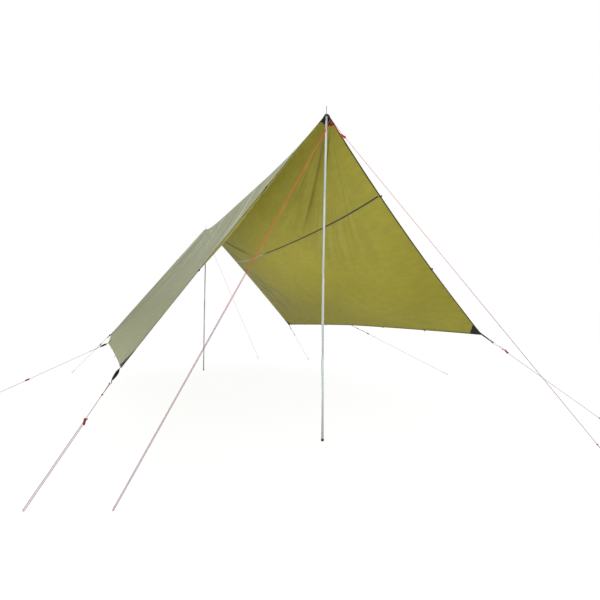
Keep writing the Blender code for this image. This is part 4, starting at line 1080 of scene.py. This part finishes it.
def makeStrap(name):
    # Two layers of webbing, folded round the eye that holds the guy line, and sewn to the cloth.
    origin, away, up, bore, bend, eye = strapFrame(name)
    peak, across = "peak" in name, np.cross(away, up)
    turning = not peak and name.endswith("left")
    ringRadius = bore / 2 + strap["thickness"] - strap["layer"] / 2
    path = foldedPath((-strap["tab" if peak else "root"], strapMiddle), (bend, strapMiddle), eye, ringRadius,
                      strap["apart"], 2 if peak else 16)
    run = np.linalg.norm(np.array(eye) - (bend, strapMiddle))
    share = np.clip(np.linalg.norm(path - np.array(eye), axis=1) / run, 0, 1)
    width = strap["eyeWidth"] + (strap["width"] - strap["eyeWidth"]) * share ** 0.8
    part, ends = flatRibbon(inFrame(path, origin, away, up), across, width, strap["layer"])
    if turning:
        # Between the cloth and the eye the left straps turn half round, as in the photo.
        near, far = inFrame(np.array([(bend, strapMiddle), eye]), origin, away, up)
        last = 1 - trim["neck"] * ringRadius / np.linalg.norm(far - near)
        part = (halfTurned(part[0], near, far, last), *part[1:])
    item = putMesh("webbing_" + name, [part], ["webbing"], caps=ends)
    if peak:
        drilled(item, trim["hole"], origin, 0.012)
    dressed(item, "strap_" + name, "canopy")


for strapName in ("front_left", "front_right", "mid_left", "mid_right", "rear_left", "rear_right",
                  "front_peak", "rear_peak"):
    makeStrap(strapName)
print("straps made")

# Poles and eyelets: profiles turned about an axis. All sizes are the CAD's.
pole = {
    "foot": {"front": (-0.054, -1.960), "rear": (-0.050, 2.004)}, "top": 2.1126, "sections": 4,
    "bow": {"front": 0.0135, "rear": 0.004}, "bowWay": (-0.916, -0.400, 0.0),
    "radius": 0.008, "wall": 0.001, "spigot": 0.050, "gap": 0.0003, "neck": 0.014, "chamfer": 0.002,
    "footRadius": 0.00925, "footFloor": 0.005, "footHeight": 0.016, "footRounding": 0.0035, "footLip": 0.0008,
    "stack": 0.0040, "shoulderGap": 0.0008, "cone": 0.006, "collar": 0.003, "plug": 0.030, "shockCord": 0.003,
    "flange": 0.008, "flangeThick": 0.001, "bore": 0.0035, "barrel": 0.0045, "sides": 40,
}
# Heights under the pole's top: the spike's shoulder, below the stack of cloth, strap and patches, and
# the last tube's mouth, below the spike's cone and collar.
shoulder = -pole["stack"] - pole["shoulderGap"]
mouth = shoulder - pole["cone"] - pole["collar"]


def turnedPart(stations, sides=pole["sides"], hollow=False):
    # Ring k stands at its own centre, square to its own axis: centre + radius * (side * cos + across * sin).
    a = (2 * np.pi * np.arange(sides) / sides)[:, None]
    rings, run = [], [0.0]
    for centre, axis, radius in stations:
        axis = unit(axis)
        side = unit(np.cross((0.0, 1.0, 0.0), axis))
        rings.append(np.asarray(centre) + radius * (side * np.cos(a) + np.cross(axis, side) * np.sin(a)))
        if len(rings) > 1:
            run.append(run[-1] + float(np.linalg.norm(rings[-1][0] - rings[-2][0])))
    points = np.array(rings)
    run = np.array(run + [run[-1]] if hollow else run)
    uv = paired(np.linspace(0, 1, sides + 1)[None, :], run[:, None])
    return surface(points, uv, wrapRows=hollow, wrapCols=True), ([] if hollow else tubeCaps(len(points), sides))


def makeSection(end, k, points):
    # One tube. All but the last carry a spigot that points along the next one. The mouths are
    # rounded over, and a shallow groove is rolled in near each joint.
    r, gap, wall = pole["radius"], pole["gap"], pole["wall"]
    inner, plug = r - wall, r - wall - gap
    axis, final = unit(points[k + 1] - points[k]), k == pole["sections"] - 1
    low = points[k] + axis * (gap / 2 if k else pole["footFloor"] + gap)
    high = points[k + 1] - axis * (gap - mouth if final else gap / 2)
    groove = ((0.010, 0), (0.0105, 0.00035), (0.0115, 0.00035), (0.012, 0))
    turns = [(low, axis, inner + 0.0002), (low, axis, r - 0.0003), (low + axis * 0.0004, axis, r)]
    if k:
        turns += [(low + axis * d, axis, r - e) for d, e in groove]
    turns += [(high - axis * d, axis, r - e) for d, e in groove[::-1]]
    turns += [(high - axis * 0.0004, axis, r), (high, axis, r - 0.0003)]
    if final:
        turns += [(high, axis, inner + 0.0001)]
    else:
        following = unit(points[k + 2] - points[k + 1])
        tip = points[k + 1] + following * pole["spigot"]
        turns += [(high, axis, plug), (tip - following * 0.001, following, plug), (tip, following, plug - 0.0004),
                  (tip, following, plug - wall), (high - axis * pole["chamfer"], axis, plug - wall),
                  (high - axis * pole["neck"], axis, inner)]
    turns += [(low + axis * 0.001, axis, inner)]
    item = putMesh("tube_%s_%d" % (end, k + 1), [turnedPart(turns, hollow=True)[0]], ["pole"])
    dressed(item, "pole_%s_section_%d" % (end, k + 1), "pole_" + end)


def makeSpike(end, top, axis):
    # The pin is steel; its insert is the tube's own alloy.
    r, cone = pole["radius"], shoulder - pole["cone"]
    plug = r - pole["wall"] - pole["gap"]
    pin = [(0.0, 0.0600), (0.0009, 0.0598), (0.0015, 0.0590), (0.0021, 0.0575), (0.0025, 0.0560), (0.0025, 0.0300),
           (0.0025, 0.0080), (0.0025, shoulder + 0.0002)]
    insert = [(0.0025, shoulder), (0.0041, shoulder), (0.0045, shoulder - 0.0004),
              (r - 0.0004, cone), (r, cone - 0.0005),
              (r, mouth + 0.0004), (r - 0.0004, mouth), (plug, mouth),
              (plug, mouth - 0.028), (plug - 0.0015, mouth - pole["plug"]), (0.0005, mouth - pole["plug"])]
    part, ends = turnedPart([(top + axis * height, axis, max(radius, 0.0003)) for radius, height in pin + insert])
    item = putMesh("spike_" + end, [part], ["spike", "insert"], caps=ends)
    # Faces count up ring by ring, and the two caps come last.
    faceSlots = [int(p.index // pole["sides"] >= len(pin) - 1) for p in item.data.polygons]
    faceSlots[-2:] = [0, 1]
    item.data.polygons.foreach_set("material_index", np.array(faceSlots, np.int32))
    dressed(item, "pole_" + end + "_spike", "pole_" + end)


def makeFoot(end, base, axis):
    # A rubber cup, rounded below, with one rolled rib, its underside cut level.
    outer, bore, floor = pole["footRadius"], pole["radius"] + pole["gap"], pole["footFloor"]
    tall, rounding = pole["footHeight"], pole["footRounding"]
    q = np.linspace(0, np.pi / 2, 5)
    profile = [(0.0003, 0.0), *zip(outer - rounding * (1 - np.sin(q)), rounding * (1 - np.cos(q)))]
    profile += [(outer, 0.0083), (outer - 0.0005, 0.0088), (outer - 0.0005, 0.0100), (outer, 0.0105)]
    profile += [(outer, tall - 0.0020), (outer - 0.0006, tall - 0.0008), (bore + pole["footLip"], tall),
                (bore, tall - 0.0020), (bore, floor), (0.0003, floor)]
    part, ends = turnedPart([(base + axis * height, axis, radius) for radius, height in profile])
    lowest = slice(0, 2 * pole["sides"])
    part[0][lowest] -= axis * (part[0][lowest][:, 2:] / axis[2])
    dressed(putMesh("foot_" + end, [part], ["rubber"], caps=ends), "pole_" + end + "_foot", "pole_" + end)


def makePole(end):
    top = np.array([0.0, way[end] * (halfRidge - shape["eyeletInset"]), pole["top"]])
    foot = np.array([*pole["foot"][end], 0.0])
    share = np.linspace(0, 1, pole["sections"] + 1)[:, None]
    points = foot + (top - foot) * share + np.array(pole["bowWay"]) * pole["bow"][end] * 4 * share * (1 - share)
    for k in range(pole["sections"]):
        makeSection(end, k, points)
    first, last = unit(points[1] - points[0]), unit(points[-1] - points[-2])
    makeSpike(end, points[-1], last)
    makeFoot(end, points[0], first)
    low = points[0] + first * (pole["footFloor"] + pole["gap"])
    high = points[-1] - last * (pole["plug"] + pole["gap"] - mouth)
    route = filled(np.vstack([[low], points[1:-1], [high]]), 33)
    inside = putTube("elastic_" + end, route, pole["shockCord"] / 2, 12, ["elastic"])
    dressed(inside, "pole_" + end + "_shock_cord", "pole_" + end)


def makeEyelet(end):
    # A metal ring rolled over on both sides of the cloth, strap and patch.
    low, high, thick = -0.0044, 0.0036, pole["flangeThick"]
    bore, rim, barrel = pole["bore"], pole["flange"], pole["barrel"]
    # From the bore out to the barrel, each point with its depth under a face. The upper face has
    # them in this order, and the lower face the other way round.
    roll = [(bore, 0.0012), (bore + 0.0001, 0.0006), (bore + 0.0006, 0), (bore + 0.0014, 0.00005),
            (rim - 0.0016, 0.0002), (rim - 0.0005, 0.0004), (rim, 0.0008), (rim - 0.0003, thick), (barrel, thick)]
    profile = [(radius, high - depth) for radius, depth in roll]
    profile += [(radius, low + depth) for radius, depth in roll[::-1]]
    profile = profile[2:] + profile[:2]
    centre = eyeletPlace(end)
    stations = [(centre + np.array([0, 0, z]), (0.0, 0.0, 1.0), radius) for radius, z in profile]
    item = putMesh("grommet_" + end, [turnedPart(stations, 48, hollow=True)[0]], ["eyelet"])
    dressed(item, "eyelet_" + end, "canopy")


for endName in ("front", "rear"):
    makePole(endName)
    makeEyelet(endName)
print("poles and eyelets made")

# Floor and light: a pale floor, white to the camera but for the shadow, and soft light all round.
# Each lamp: its place, what it points at, its size and its power.
studio = {
    "floorSize": 60.0, "floorLow": -0.002, "worldLight": 0.75, "floorGlow": 1.05, "glowShare": 0.88,
    "lamps": [
        ("key", (-3.5, -5.5, 6.0), (0.0, 0.0, 1.0), 7.0, 182), ("fill", (5.0, -4.0, 3.0), (0.0, 0.0, 1.0), 5.0, 74),
        ("front", (-0.95, -6.5, 0.9), (0.5, 0.0, 1.3), 2.6, 24),
        ("under", (-0.35, -0.35, 0.06), (0.30, -0.30, 2.0), 3.0, 58),
    ],
}


def makeStudio():
    half, z, white = studio["floorSize"] / 2, studio["floorLow"], (1, 1, 1, 1)
    pale = Finish("floor_pale", 0.9, Base_Color=(0.86, 0.86, 0.85, 1))
    glow = newNode(pale.tree, "Emission", {"Strength": studio["floorGlow"]})
    share = newNode(pale.tree, "LightPath", {}, "Is Camera Ray") * studio["glowShare"]
    blend = newNode(pale.tree, "MixShader", {0: share, 1: Value(pale.tree, pale.shader.outputs[0]), 2: glow})
    fillInputs(pale.tree.nodes["Material Output"], {"Surface": blend})
    finishes["floor"] = pale.material
    grid = np.array([[(-half, -half, z), (-half, half, z)], [(half, -half, z), (half, half, z)]], float)
    putMesh("floor", [surface(grid)], ["floor"], closed=False)
    world = bpy.data.worlds.new("studio")
    world.use_nodes = True
    tree = world.node_tree
    seen = tree.nodes["Background"]
    fillInputs(seen, {"Color": white, "Strength": 1.0})
    lit = newNode(tree, "Background", {"Color": white, "Strength": studio["worldLight"]})
    rays = [newNode(tree, "LightPath", {}, kind) for kind in ("Is Camera Ray", "Is Glossy Ray")]
    pick = newNode(tree, "MixShader", {0: rays[0].by("MAXIMUM", rays[1]), 1: lit, 2: Value(tree, seen.outputs[0])})
    fillInputs(tree.nodes["World Output"], {"Surface": pick})
    bpy.context.scene.world = world
    for name, place, target, size, power in studio["lamps"]:
        data = bpy.data.lights.new(name, "AREA")
        data.size, data.energy = size, power
        lamp = addObject(name, data)
        lamp.visible_camera = False
        ahead = unit(np.array(target) - np.array(place))
        right = unit(np.cross(ahead, (0, 0, 1)))
        lamp.matrix_world = turnedTo(right, np.cross(right, ahead), -ahead, place)
    bpy.context.scene.view_settings.view_transform = "Standard"


makeStudio()
print("studio made")
